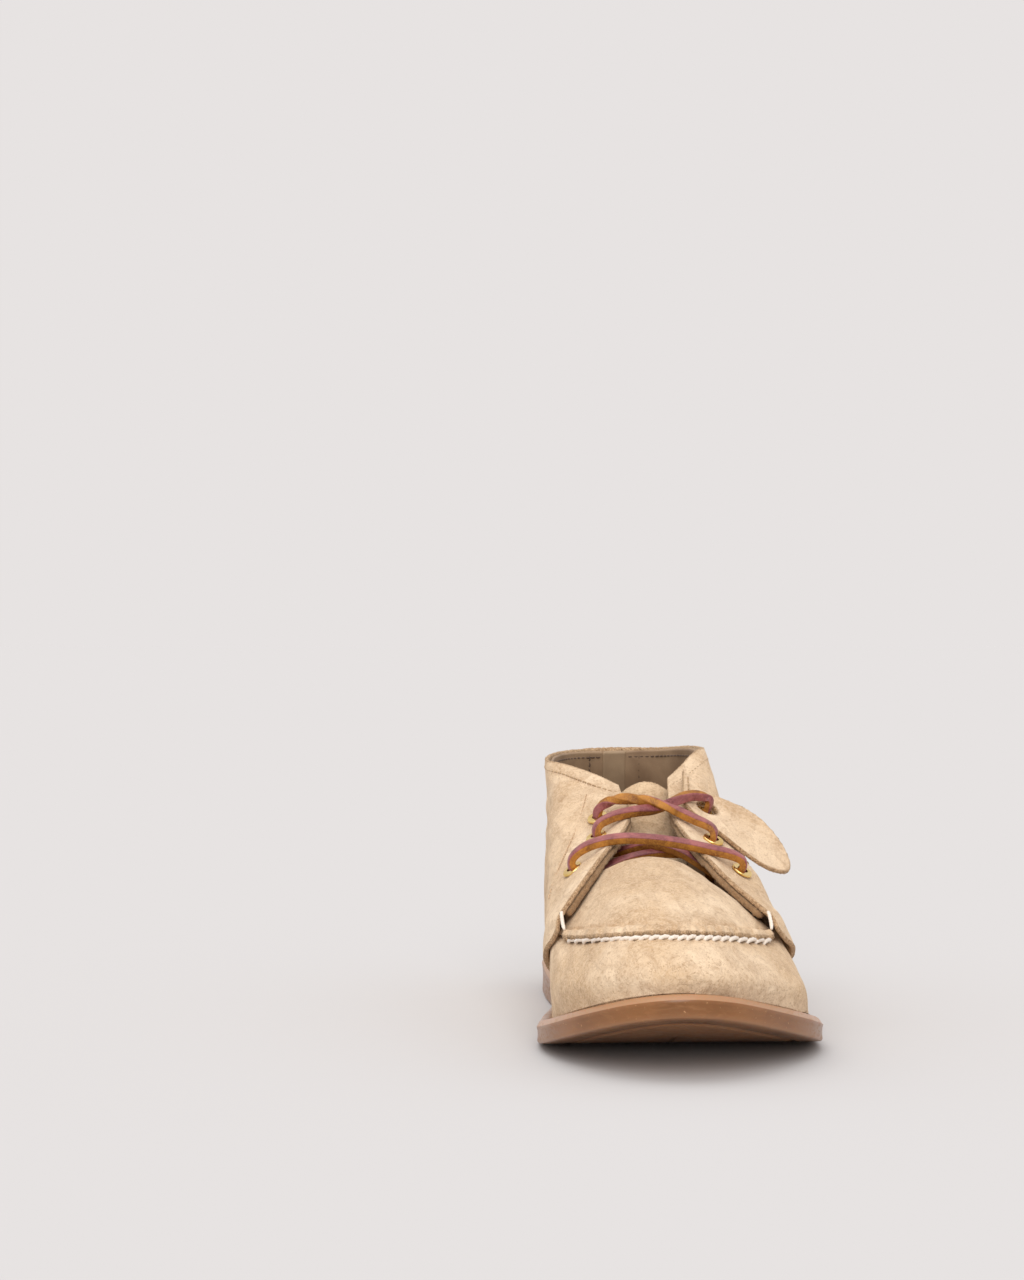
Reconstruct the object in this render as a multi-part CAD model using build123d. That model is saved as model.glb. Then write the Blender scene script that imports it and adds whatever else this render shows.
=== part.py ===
"""Left shoe of a pair of ankle-high suede moccasins, built panel by panel over one last.

Frame: millimetres, +Z up, origin on the floor under the middle of the shoe.
The toe points to -Y, the heel to +Y, the outer (lateral) side of the foot to +X.
"""
from build123d import *
import math
import os

# ---- driving dimensions --------------------------------------------------------------
TOE_SPRING = 24.0          # lift of the tread under the toe tip
SPRING_START = -40.0       # y where the tread leaves the floor
SPRING_END = -149.0        # y of the toe tip
SPRING_POWER = 1.6
SOLE_FORE = 9.3            # rubber thickness under the ball
SOLE_HEEL = 16.0           # rubber thickness under the heel
WEDGE_START = -20.0        # y where the wedge begins to thicken
WEDGE_END = 110.0
SOLE_TAPER = 1.6           # how far the sidewall leans in over TAPER_HEIGHT
TAPER_HEIGHT = 50.0

SUEDE = 2.0                # quarter, vamp and tongue leather
PLY_GAP = 0.3              # air between two layers of one body
SEAT_GAP = 0.4             # air between the upper and the sole
LINING = 1.1
STAY = 1.9                 # flesh-side ply under the eyelets
COUNTER = 1.2
FACING_LIFT = 4.0          # how far the free facing edge stands off the apron

EYELET_HOLE = 2.45         # radius of the punched hole
EYELET_BORE = 2.15
EYELET_FLANGE = 4.3
EYELET_RIM = 0.9           # flange thickness
LACE_D = 2.8

# Outline of the rubber sole, toe to heel down the outer side and back up the inner side.
SOLE_OUTLINE = [
    (-8, -149), (13, -142.5), (34.5, -120), (49.5, -95), (57, -68), (57.5, -42), (52, -8),
    (45, 30), (38.5, 72), (34.5, 108), (22, 137), (-4, 149), (-29, 138.5), (-41, 112),
    (-43, 80), (-42, 48), (-43, 15), (-48, -14), (-53, -40), (-55, -68), (-51, -96),
    (-42, -120), (-27, -140.5),
]

# The last: 16 ribs round the foot, each climbing from the feather line to the throat.
# Levels: feather (x, y), then bulge, moc seam, lower side, upper side, topline (x, y, z).
RIBS = [
    [(-8, -143.5), (-8, -144.2, 40), (-9, -127.5, 50.6), (-9, -60, 66), (-8, -5, 80), (-6, 30, 94)],
    [(19, -130), (20, -130, 36.5), (11, -114.5, 48.8), (5, -55, 65), (2, -6, 79), (1, 32, 94)],
    [(45, -93), (44, -93, 29), (35, -72, 43.3), (17, -50, 60.5), (5.5, -8, 79.5), (8, 35, 95.3)],
    [(51.5, -51), (48.0, -50, 26.5), (40.5, -42, 47), (30.5, -26, 64), (18, 6, 82.5), (14.5, 45, 101.5)],
    [(46, -8), (43.0, -8, 28), (39, -2, 50), (34, 8, 67), (27.5, 28, 85), (20.5, 57, 107)],
    [(39.5, 38), (39.5, 38, 30), (36, 40, 54), (32.5, 45, 72), (28.5, 55, 90), (25.5, 71, 109)],
    [(31, 92), (32, 92, 33), (29, 92, 58), (26, 92, 76), (24, 92, 93), (22.5, 92, 109)],
    [(18, 128), (19, 130, 34), (16.5, 126, 60), (13.5, 122, 77), (12, 118, 93), (11.5, 116, 107.3)],
    [(-5, 143), (-5, 145.5, 36), (-6, 140, 62), (-6.5, 134, 79), (-7, 129, 94), (-7, 126, 106.3)],
    [(-26, 129), (-27, 131, 34), (-26.5, 127, 60), (-26, 122, 77), (-26, 118, 93), (-26, 116, 106.3)],
    [(-36.5, 92), (-38.5, 92, 33), (-37.5, 92, 58), (-36.5, 92, 76), (-36.5, 92, 93), (-37, 92, 105.5)],
    [(-36.5, 38), (-39, 38, 30), (-40.5, 40, 54), (-40, 45, 72), (-39.5, 54, 89), (-39.5, 65, 103.8)],
    [(-41, -10), (-43.5, -10, 28), (-44, -5, 50), (-42, 4, 66), (-37, 24, 83), (-30.5, 49, 101)],
    [(-48, -50), (-48.5, -52, 28), (-47, -45, 46), (-39, -28, 62), (-27, 2, 79), (-20.5, 38, 97)],
    [(-46.5, -93), (-48, -92, 30), (-43.5, -72, 44), (-28, -50, 64), (-13.5, -10, 79.5), (-14, 32, 92.3)],
    [(-32, -130), (-33, -130, 37), (-28.5, -116, 49), (-19, -56, 65), (-12, -6, 79), (-10, 31, 94)],
]
LEVELS = (0.0, 0.18, 0.38, 0.57, 0.78, 1.0)
TOE = 16                   # rib numbers, the toe being both 0 and 16
HEEL = 8.0
FACING_LAT = 2.0           # the facing edge runs up this rib
FACING_MED = 14.0
SEAM = 0.38                # level of the moc seam


# ---- the last --------------------------------------------------------------------------
def tread(y):
    """Height of the underside of the sole."""
    if y >= SPRING_START:
        return 0.0
    return TOE_SPRING * ((SPRING_START - y) / (SPRING_START - SPRING_END)) ** SPRING_POWER


def sole_top(y):
    """Height of the upper face of the rubber, where the shoe's upper sits."""
    t = min(max((y - WEDGE_START) / (WEDGE_END - WEDGE_START), 0.0), 1.0)
    ease = t * t * (3 - 2 * t)
    return tread(y) + SOLE_FORE + (SOLE_HEEL - SOLE_FORE) * ease


def cubic(a, b, c, d, t):
    """Catmull-Rom curve from b to c."""
    return tuple(
        0.5 * (2 * q + (r - p) * t + (2 * p - 5 * q + 4 * r - s) * t * t
               + (3 * q - p - 3 * r + s) * t ** 3)
        for p, q, r, s in zip(a, b, c, d)
    )


def rib_point(rib, level):
    point = RIBS[rib % 16][level]
    if level == 0:
        return (point[0], point[1], sole_top(point[1]))
    return point


def level_point(level, theta):
    """Point on one level line; theta counts ribs round the foot."""
    i = math.floor(theta)
    a, b, c, d = (rib_point(i + k, level) for k in (-1, 0, 1, 2))
    return cubic(a, b, c, d, theta - i)


def last_point(theta, v):
    """Point on the outer face of the last, v = 0 at the feather and 1 at the topline."""
    k = 0
    while k < 4 and v > LEVELS[k + 1]:
        k += 1
    pts = [level_point(j, theta) for j in range(6)]
    a = pts[k - 1] if k > 0 else tuple(2 * p - q for p, q in zip(pts[0], pts[1]))
    d = pts[k + 2] if k < 4 else tuple(2 * p - q for p, q in zip(pts[5], pts[4]))
    t = (v - LEVELS[k]) / (LEVELS[k + 1] - LEVELS[k])
    return cubic(a, pts[k], pts[k + 1], d, t)



# ---- solids ------------------------------------------------------------------------------
def normal_of(place, a, b):
    """Unit normal of the surface place(a, b)."""
    e = 0.01
    a0, a1 = max(a - e, 0.0), min(a + e, 1.0)
    b0, b1 = max(b - e, 0.0), min(b + e, 1.0)
    along = Vector(*place(a1, b)) - Vector(*place(a0, b))
    across = Vector(*place(a, b1)) - Vector(*place(a, b0))
    return along.cross(across).normalized()


def surface(place, off, rows, cols):
    """Grid of points at a distance off(a, b) from the surface place(a, b)."""
    points = []
    for i in range(rows):
        a = i / (rows - 1)
        line = []
        for j in range(cols):
            b = j / (cols - 1)
            line.append(Vector(*place(a, b)) + normal_of(place, a, b) * off(a, b))
        points.append(line)
    return points


def seated(points):
    """Keep every point of a panel above the upper face of the sole."""
    return [[Vector(p.X, p.Y, max(p.Z, sole_top(p.Y) + SEAT_GAP)) for p in line] for line in points]


def closest_edge(edge, face):
    middle = edge.center()
    return min(face.edges(), key=lambda other: (other.center() - middle).length)


def sheet(place, low, high, rows=16, cols=9, tolerance=0.01):
    """Closed leather panel between the offsets low(a, b) and high(a, b) of a surface."""
    outer = Face.make_surface_from_array_of_points(seated(surface(place, high, rows, cols)), tolerance)
    inner = Face.make_surface_from_array_of_points(seated(surface(place, low, rows, cols)), tolerance)
    edges = [Face.make_surface_from_curves(e, closest_edge(e, inner)) for e in outer.edges()]
    return Solid(Shell([outer, inner] + edges))


def constant(value):
    return lambda a, b: value


def patch(theta0, theta1, v0, v1):
    """Rectangle of the last; theta0 to theta1 runs with rising rib numbers."""
    return lambda a, b: last_point(theta0 + (theta1 - theta0) * a, v0 + (v1 - v0) * b)


# ---- sole unit -----------------------------------------------------------------------------
def closed_point(outline, t):
    """Point t on a closed smooth outline given by its corner points."""
    n = len(outline)
    i = math.floor(t)
    return cubic(*(outline[(i + k) % n] for k in (-1, 0, 1, 2)), t - i)


def inset_outline(outline, distance):
    """The outline moved inwards by a distance, one point for each of its own."""
    moved = []
    for i, (x, y) in enumerate(outline):
        x0, y0 = closed_point(outline, i - 0.05)
        x1, y1 = closed_point(outline, i + 0.05)
        run = math.hypot(x1 - x0, y1 - y0)
        moved.append((x - distance * (y1 - y0) / run, y + distance * (x1 - x0) / run))
    return moved


def outline_wire(outline, z):
    return Wire([Edge.make_spline([Vector(x, y, z) for x, y in outline], periodic=True)])


def prism(outline, z0, z1):
    return Solid.extrude(Face(outline_wire(outline, z0)), Vector(0, 0, z1 - z0))


def side_curve(height, y0, y1, count=30):
    step = (y1 - y0) / count
    return [Vector(0, y0 + step * i, height(y0 + step * i)) for i in range(count + 1)]


def slab(low, high, reach=160, half_width=80):
    """Everything between two heights low(y) and high(y), wider and longer than the shoe."""
    under_toe = side_curve(low, -reach, SPRING_START)
    under_foot = side_curve(low, SPRING_START, reach)
    over = side_curve(high, reach, -reach, 50)
    if low(reach) == low(SPRING_START):
        floor_edge = Edge.make_line(under_foot[0], under_foot[-1])
    else:
        floor_edge = Edge.make_spline(under_foot)
    edges = [
        Edge.make_spline(under_toe),
        floor_edge,
        Edge.make_line(under_foot[-1], over[0]),
        Edge.make_spline(over),
        Edge.make_line(over[-1], under_toe[0]),
    ]
    profile = Face(Wire(edges)).moved(Location((-half_width, 0, 0)))
    return Solid.extrude(profile, Vector(2 * half_width, 0, 0))


FEATHER = [rib[0] for rib in RIBS]


def outsole():
    low = outline_wire(inset_outline(SOLE_OUTLINE, SOLE_TAPER), tread(0) - 5)
    high = outline_wire(SOLE_OUTLINE, TAPER_HEIGHT - 5)
    body = Solid.make_loft([low, high]) & slab(tread, sole_top)
    ring = prism(inset_outline(SOLE_OUTLINE, 9.0), -5, 50) - prism(inset_outline(SOLE_OUTLINE, 11.0), -5, 50)
    return body - (ring & slab(lambda y: tread(y) - 1, lambda y: tread(y) + 1.2))


def insole_board():
    return prism(inset_outline(FEATHER, 3.6), -5, 50) & slab(
        lambda y: sole_top(y) + PLY_GAP, lambda y: sole_top(y) + 2.2)


def footbed_foam():
    return prism(inset_outline(FEATHER, 6.0), -5, 60) & slab(
        lambda y: sole_top(y) + 2.35, lambda y: sole_top(y) + 6.0)


def footbed_cover():
    return prism(inset_outline(FEATHER, 6.4), -5, 60) & slab(
        lambda y: sole_top(y) + 6.15, lambda y: sole_top(y) + 7.3)



# ---- upper -----------------------------------------------------------------------------------
VAMP_RIBS = 10.8                       # how far the vamp runs round the toe
VAMP_SINK = 0.7                        # how far it dips under the quarters
WALL = 0.45                            # quarter's inner face above the last
TAB_LIFT = 0.5                         # how far the quarter's front edge stands off the vamp
QUARTER_TAB = 3.2                      # how far the quarter's lower front edge sweeps back
STAY_RIBS = 1.25                       # width of the flesh-side ply, in ribs
LINING_FRONT = 12.62                   # the lining starts behind the vamp
BACKSTAY_RIBS = 0.56
STRIP_RIBS = 0.26                      # heel lining strip


def ramp(x, x0, x1):
    t = min(max((x - x0) / (x1 - x0), 0.0), 1.0)
    return t * t * (3 - 2 * t)


def mirror_rib(theta, side):
    """Rib number on the outer side (+1) for one counted on the inner side."""
    return 2 * HEEL - theta if side > 0 else theta


def facing_lift(ribs_back, v):
    """Height of the free front edge of the quarter above its usual place."""
    rise = ramp(v, 0.33, 0.42) * (1 - 0.75 * ramp(v, 0.55, 0.95))
    return (FACING_LIFT * rise + TAB_LIFT) * math.exp(-(ribs_back / 0.62) ** 2)


def quarter_front(v):
    """Rib number of the quarter's front edge: the facing, then the tab swept back below it."""
    if v >= SEAM:
        return FACING_MED
    return FACING_MED - QUARTER_TAB * (1 - v / SEAM) ** 1.1


def quarter(side):
    def theta(a, b):
        front = quarter_front(b)
        return front + (HEEL + 0.01 - front) * a

    def place(a, b):
        return last_point(mirror_rib(theta(a, b), side), b)

    def low(a, b):
        return side * (WALL + facing_lift(FACING_MED - theta(a, b), b))

    def high(a, b):
        return low(a, b) + side * SUEDE

    return sheet(place, low, high, 50, 24, tolerance=0.1) - eyelet_holes(side)


def stay(side):
    def place(a, b):
        return last_point(mirror_rib(FACING_MED - STAY_RIBS * a, side), 0.44 + 0.545 * b)

    def high(a, b):
        return side * (WALL - PLY_GAP + facing_lift(STAY_RIBS * a, 0.44 + 0.545 * b))

    def low(a, b):
        return high(a, b) - side * STAY

    return sheet(place, low, high, 14, 18) - eyelet_holes(side)


def lining_depth(b):
    """Outer face of the lining from the last: behind the vamp and counter, then close to the quarter."""
    return -3.0 + 2.6 * ramp(b, 0.5, 0.64)


def lining(side):
    def place(a, b):
        front = LINING_FRONT
        return last_point(mirror_rib(front + (HEEL + STRIP_RIBS + 0.03 - front) * a, side), 0.06 + 0.93 * b)

    def high(a, b):
        return side * lining_depth(b)

    def low(a, b):
        return high(a, b) - side * LINING

    return sheet(place, low, high, 40, 20)


def heel_lining_strip():
    def high(a, b):
        return lining_depth(b)

    place = patch(HEEL - STRIP_RIBS, HEEL + STRIP_RIBS, 0.06, 0.99)
    return sheet(place, lambda a, b: high(a, b) - LINING, high, 7, 20)


def heel_counter():
    return sheet(patch(6.4, 9.6, 0.02, 0.5), constant(-0.4 - COUNTER), constant(-0.4), 26, 10)


def backstay():
    place = patch(HEEL - BACKSTAY_RIBS, HEEL + BACKSTAY_RIBS, 0.02, 1.0)
    base = WALL + SUEDE + PLY_GAP
    return sheet(place, constant(base), constant(base + 1.6), 14, 24)


def vamp():
    def high(a, b):
        return -VAMP_SINK * ramp(abs(VAMP_RIBS * (a - 0.5)), 1.9, 2.4)

    def low(a, b):
        return high(a, b) - SUEDE

    place = patch(TOE - VAMP_RIBS / 2, TOE + VAMP_RIBS / 2, 0.0, SEAM - 0.008)
    return sheet(place, low, high, 84, 12)


# ---- apron and tongue ---------------------------------------------------------------------------
APRON_SIDE = 0.3                       # how far the apron runs on under each facing, in ribs
APRON_BACK_Y = -46.0
APRON_BACK_X = (-31.0, 13.0)
APRON_BACK_Z = 72.3
APRON_BACK_DROP = 8.0
APRON_CROWN = 3.4
LIP = 3.0                              # height of the gathered lip along the moc seam
TONGUE_LENGTH_POINTS = [(-57, 64.0), (-40, 65.4), (-20, 68.6), (0, 74.6), (15, 82), (27, 90), (35, 97)]


def apron_point(a, b):
    """a runs from the inner to the outer facing round the toe, b from the seam to the back edge."""
    theta = FACING_MED - APRON_SIDE + (4 + 2 * APRON_SIDE) * a
    seam = last_point(theta, SEAM)
    spread = 2 * a - 1
    back = (
        APRON_BACK_X[0] + (APRON_BACK_X[1] - APRON_BACK_X[0]) * a,
        APRON_BACK_Y - 3 * (1 - spread ** 2),
        APRON_BACK_Z - APRON_BACK_DROP * spread ** 2,
    )
    t = b ** 1.5
    crown = APRON_CROWN * math.sin(math.pi * min(t ** 0.8, 1.0)) * (1 - spread ** 4)
    x, y, z = (p + (q - p) * t for p, q in zip(seam, back))
    return (x, y, z + crown)


def apron():
    def high(a, b):
        fade = ramp(1 - abs(2 * a - 1), 0.10, 0.20)
        return LIP * fade * (1 - ramp(b ** 1.5, 0.02, 0.065)) * ramp(b ** 1.5 + 0.02, 0.0, 0.02)

    return sheet(apron_point, lambda a, b: -1.8, high, 34, 22)


def tongue_point(a, b):
    """a runs from the root to the top, b from the inner to the outer edge."""
    spread = 2 * b - 1
    t = a * (1 - 0.10 * spread ** 2) * (len(TONGUE_LENGTH_POINTS) - 1)
    i = min(math.floor(t), len(TONGUE_LENGTH_POINTS) - 2)
    pts = TONGUE_LENGTH_POINTS
    before = pts[i - 1] if i > 0 else tuple(2 * p - q for p, q in zip(pts[0], pts[1]))
    after = pts[i + 2] if i + 2 < len(pts) else tuple(2 * p - q for p, q in zip(pts[-1], pts[-2]))
    y, z = cubic(before, pts[i], pts[i + 1], after, t - i)
    middle = -8.5 + 5.0 * a
    half = 14.5 + 2.0 * ramp(a, 0.1, 0.4)
    drop = 6.0 + 4.0 * a
    return (middle + half * spread, y, z - drop * spread ** 2)


def tongue():
    return sheet(tongue_point, lambda a, b: -1.8, constant(0.0), 20, 9)


# ---- eyelets, tag and lace -------------------------------------------------------------------------
# Each eyelet as (rib, level), bottom to top; ribs are counted on the inner side.
EYELETS_MED = [(13.28, 0.582), (13.34, 0.72), (13.15, 0.81)]
EYELETS_LAT = [(13.34, 0.565), (13.34, 0.685), (12.95, 0.785)]


def eyelet_plane(side, theta, v):
    """Plane on the outer face of the quarter, square to it, at one eyelet."""
    rib = mirror_rib(theta, side)
    around = patch(rib - 0.5, rib + 0.5, v - 0.1, v + 0.1)
    normal = normal_of(around, 0.5, 0.5)
    height = WALL + SUEDE + facing_lift(FACING_MED - theta, v)
    return Plane(Vector(*last_point(rib, v)) + normal * height, z_dir=normal)


def eyelet_planes(side):
    spots = EYELETS_LAT if side > 0 else EYELETS_MED
    return [eyelet_plane(side, theta, v) for theta, v in spots]


def eyelet_holes(side):
    return [Solid.make_cylinder(EYELET_HOLE, 14, plane.offset(-8)) for plane in eyelet_planes(side)]


def eyelet():
    """Brass ring with its flange on Z = 0, barrel down, and the curled foot under the ply."""
    depth = SUEDE + STAY + PLY_GAP + 0.2
    barrel = Solid.make_cylinder(EYELET_HOLE - 0.05, depth + 1.2, Plane((0, 0, -depth - 0.5)))
    rim = Solid.make_cylinder(EYELET_FLANGE, EYELET_RIM, Plane((0, 0, 0.4)))
    rim = rim.fillet(EYELET_RIM * 0.6, [rim.edges().sort_by(Axis.Z)[-1]])
    foot = Solid.make_cylinder(EYELET_FLANGE - 0.8, 0.5, Plane((0, 0, -depth - 0.5)))
    bore = Solid.make_cylinder(EYELET_BORE, 20, Plane((0, 0, -10)))
    return barrel + rim + foot - bore


def eyelets(side):
    return [eyelet().moved(plane.location) for plane in eyelet_planes(side)]


TAG_NORMAL = (0.36, -0.43, 0.83)
TAG_LIFT = 2.3                         # underside of the tag above the quarter at its hole
TAG_THICKNESS = 1.8
TAG_HOLE = 4.9                         # clears the brass flange that shows through it
TAG_REACH = (0.80, -0.31, -0.51)       # direction of the rounded end
# Outline about the hole, x towards the rounded end: the stem end, then the leaf.
TAG_STEM = [(-7, -7.5), (-10.5, -2.5), (-19.5, 17), (-7.5, 10)]
TAG_LEAF = [
    (-7.5, 10), (2, 13.5), (12, 15.5), (22, 14.5), (33, 8.5), (41, -1), (42, -9.5), (36, -16),
    (26, -17.5), (12, -15), (0, -11.5), (-7, -7.5),
]


def tag_plane():
    seat = eyelet_planes(1)[-1].origin
    normal = Vector(*TAG_NORMAL).normalized()
    return Plane(seat + normal * TAG_LIFT, x_dir=Vector(*TAG_REACH), z_dir=normal)


def hang_tag():
    lines = [Edge.make_line(Vector(*p), Vector(*q)) for p, q in zip(TAG_STEM, TAG_STEM[1:])]
    leaf = Edge.make_spline([Vector(*p) for p in TAG_LEAF])
    flat = Solid.extrude(Face(Wire(lines + [leaf])), Vector(0, 0, TAG_THICKNESS))
    flat = flat - Solid.make_cylinder(TAG_HOLE, 3 * TAG_THICKNESS, Plane((0, 0, -TAG_THICKNESS)))
    return flat.moved(tag_plane().location)


# Route of the flat leather lace, from one tucked end to the other.
LACE_ROUTE = [
    (-33.0, 30.0, 50.0), (-32.0, 24.0, 60.0), (-29.0, 14.5, 70.0), (-22.7, 5.8, 77.3),
    (-26.4, 1.8, 87.4), (-18.5, -0.2, 92.3), (-7.0, -4.0, 92.0), (4.0, -8.5, 88.8),
    (12.5, -13.2, 84.6), (18.8, -17.3, 82.0), (20.7, -19.6, 79.2), (18.0, -16.2, 70.6),
    (9.5, -20.5, 71.3), (-6.5, -27.2, 72.2), (-23.5, -31.3, 67.8), (-33.3, -33.0, 59.8),
    (-40.4, -35.4, 69.2), (-33.5, -37.2, 75.8), (-21.5, -38.3, 79.0), (-8.0, -39.0, 78.6),
    (5.0, -39.3, 76.8), (16.5, -39.4, 74.2), (26.0, -39.3, 72.0), (30.4, -39.3, 68.8),
    (25.5, -35.0, 59.2), (15.0, -30.3, 66.8), (4.0, -27.6, 73.6), (-7.5, -24.6, 75.5),
    (-15.5, -19.8, 72.4), (-23.9, -12.7, 70.8), (-28.5, -15.8, 81.2), (-21.0, -12.6, 85.6),
    (-11.0, -9.2, 87.6), (-2.0, -5.0, 88.0), (5.5, -2.0, 90.8), (12.5, 2.0, 93.4),
    (19.0, 3.9, 92.8), (22.3, 3.7, 90.5), (16.8, 9.1, 79.4), (20.5, 16.5, 72.0),
    (23.5, 22.5, 62.0), (24.5, 28.0, 52.0),
]


def bend_radii(route):
    """One radius for each corner: 0.45 of the shorter run over the tangent of half the turn."""
    points = [Vector(*p) for p in route]
    radii = []
    for before, at, after in zip(points, points[1:], points[2:]):
        turn = math.radians((at - before).get_angle(after - at))
        shorter = min((at - before).length, (after - at).length)
        radii.append(0.45 * shorter / math.tan(turn / 2))
    return radii


def lace():
    path = FilletPolyline(*[Vector(*p) for p in LACE_ROUTE], radius=bend_radii(LACE_ROUTE))
    start = path ^ 0
    section = Face(Wire([Edge.make_circle(LACE_D / 2, Plane(start.position, z_dir=start.z_axis.direction))]))
    return Solid.sweep(section, Wire(path.edges()))


# ---- threads -----------------------------------------------------------------------------------
def capsule(length, radius):
    """Round-ended bar along Z, centred on the origin."""
    half = length / 2 - radius
    bar = Solid.make_cylinder(radius, 2 * half, Plane((0, 0, -half)))
    ends = [Solid.make_sphere(radius, Plane((0, 0, z)), angle1=-90, angle2=90) for z in (-half, half)]
    return bar + ends


def along(bar, start, end):
    """The bar moved so that its axis lies on the line from start to end."""
    return bar.moved(Plane((start + end) / 2, z_dir=end - start).location)


MOC_STITCHES = 23
MOC_STITCH = (5.0, 0.75)               # length and radius of one stitch
MOC_THREAD_STAND = 0.95                # thread axis above the vamp


def on_vamp(theta, v, off):
    around = patch(theta - 0.2, theta + 0.2, v - 0.05, v + 0.05)
    return Vector(*last_point(theta, v)) + normal_of(around, 0.5, 0.5) * off


def moc_seam_stitches():
    """Slanted hand stitches just under the gathered lip, evenly spaced round the toe."""
    ribs = [FACING_MED + 0.16 + 3.68 * (k + 0.5) / MOC_STITCHES for k in range(MOC_STITCHES)]
    stitches = []
    for theta in ribs:
        start = on_vamp(theta - 0.055, SEAM - 0.034, MOC_THREAD_STAND)
        end = on_vamp(theta + 0.055, SEAM - 0.022, MOC_THREAD_STAND)
        middle = (start + end) / 2
        half = (end - start).normalized() * (MOC_STITCH[0] / 2)
        stitches.append(along(capsule(*MOC_STITCH), middle - half, middle + half))
    return stitches


def stitch_row(side, front, back, v0, v1, off, width=0.006):
    """Thin raised line of thread on the quarter from (front, v0) to (back, v1)."""
    def place(a, b):
        theta = mirror_rib(front + (back - front) * a, side)
        return last_point(theta, v0 + (v1 - v0) * a + width * (b - 0.5))

    flip = side if front > back else -side
    return sheet(place, constant(flip * off), constant(flip * (off + 0.45)), 26, 4)


def topline_stitching(side):
    return [stitch_row(side, 12.9, HEEL + BACKSTAY_RIBS + 0.04, 0.95, 0.955, WALL + SUEDE + 0.1)]


STITCH_RIB = 12.6


def facing_stitching(side):
    """Thread that joins the quarter to the ply under it, along the back of the eyelets."""
    def place(a, b):
        theta = STITCH_RIB + 0.03 * (b - 0.5)
        return last_point(mirror_rib(theta, side), 0.46 + 0.42 * a)

    def low(a, b):
        return side * (WALL + SUEDE + 0.1 + facing_lift(FACING_MED - STITCH_RIB, 0.46 + 0.42 * a))

    return [sheet(place, low, lambda a, b: low(a, b) + side * 0.45, 18, 3)]


def backstay_stitching():
    rows = []
    for edge in (-1, 1):
        rib = HEEL + edge * (BACKSTAY_RIBS - 0.06)
        place = patch(rib - 0.012, rib + 0.012, 0.05, 0.975)
        base = WALL + SUEDE + PLY_GAP + 1.7
        rows.append(sheet(place, constant(base), constant(base + 0.45), 3, 18))
    return rows


def tack_stitches():
    """One diagonal thread on each side, tying the end of the seam to the quarter's corner."""
    tacks = []
    for side in (-1, 1):
        start = on_vamp(mirror_rib(14.06, side), 0.425, 7.4)
        end = on_vamp(mirror_rib(14.2, side), 0.352, 2.4)
        tacks.append(along(capsule((end - start).length, 0.7), start, end))
    return tacks


def parts():
    """Every node of the shoe by name."""
    return {
        "outsole": outsole(),
        "insole_board": insole_board(),
        "footbed_foam": footbed_foam(),
        "footbed_cover": footbed_cover(),
        "vamp": vamp(),
        "apron": apron(),
        "tongue": tongue(),
        "quarter_medial": quarter(-1),
        "quarter_lateral": quarter(1),
        "facing_stay_medial": stay(-1),
        "facing_stay_lateral": stay(1),
        "lining_medial": lining(-1),
        "lining_lateral": lining(1),
        "heel_lining_strip": heel_lining_strip(),
        "heel_counter": heel_counter(),
        "backstay": backstay(),
        "eyelets_medial": eyelets(-1),
        "eyelets_lateral": eyelets(1),
        "lace": lace(),
        "hang_tag": hang_tag(),
        "moc_seam_stitches": moc_seam_stitches(),
        "tack_stitches": tack_stitches(),
        "topline_stitching_medial": topline_stitching(-1),
        "topline_stitching_lateral": topline_stitching(1),
        "facing_stitching_medial": facing_stitching(-1),
        "facing_stitching_lateral": facing_stitching(1),
        "backstay_stitching": backstay_stitching(),
    }


def write_parts():
    os.makedirs("parts", exist_ok=True)
    for name, shape in parts().items():
        solid = Compound(shape) if isinstance(shape, list) else shape
        solid.label = name
        export_step(solid, f"parts/{name}.step")
    print("lace bend radii, mm:", [round(radius, 1) for radius in bend_radii(LACE_ROUTE)])


write_parts()
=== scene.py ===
import math

import bmesh
import bpy
import numpy as np
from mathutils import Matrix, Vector


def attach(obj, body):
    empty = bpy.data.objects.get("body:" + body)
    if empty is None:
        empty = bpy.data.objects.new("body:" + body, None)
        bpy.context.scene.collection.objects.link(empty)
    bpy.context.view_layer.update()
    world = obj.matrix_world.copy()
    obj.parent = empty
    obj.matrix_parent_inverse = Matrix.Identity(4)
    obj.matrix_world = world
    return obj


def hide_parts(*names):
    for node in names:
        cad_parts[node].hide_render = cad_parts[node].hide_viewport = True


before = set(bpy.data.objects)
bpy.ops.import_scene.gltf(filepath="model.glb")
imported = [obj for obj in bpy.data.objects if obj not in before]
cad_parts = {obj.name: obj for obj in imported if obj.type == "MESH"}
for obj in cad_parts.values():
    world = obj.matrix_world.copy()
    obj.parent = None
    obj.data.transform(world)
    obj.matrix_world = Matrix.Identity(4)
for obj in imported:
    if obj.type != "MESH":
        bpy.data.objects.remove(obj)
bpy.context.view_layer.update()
MM = 0.001
rng = np.random.default_rng(7)

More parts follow.
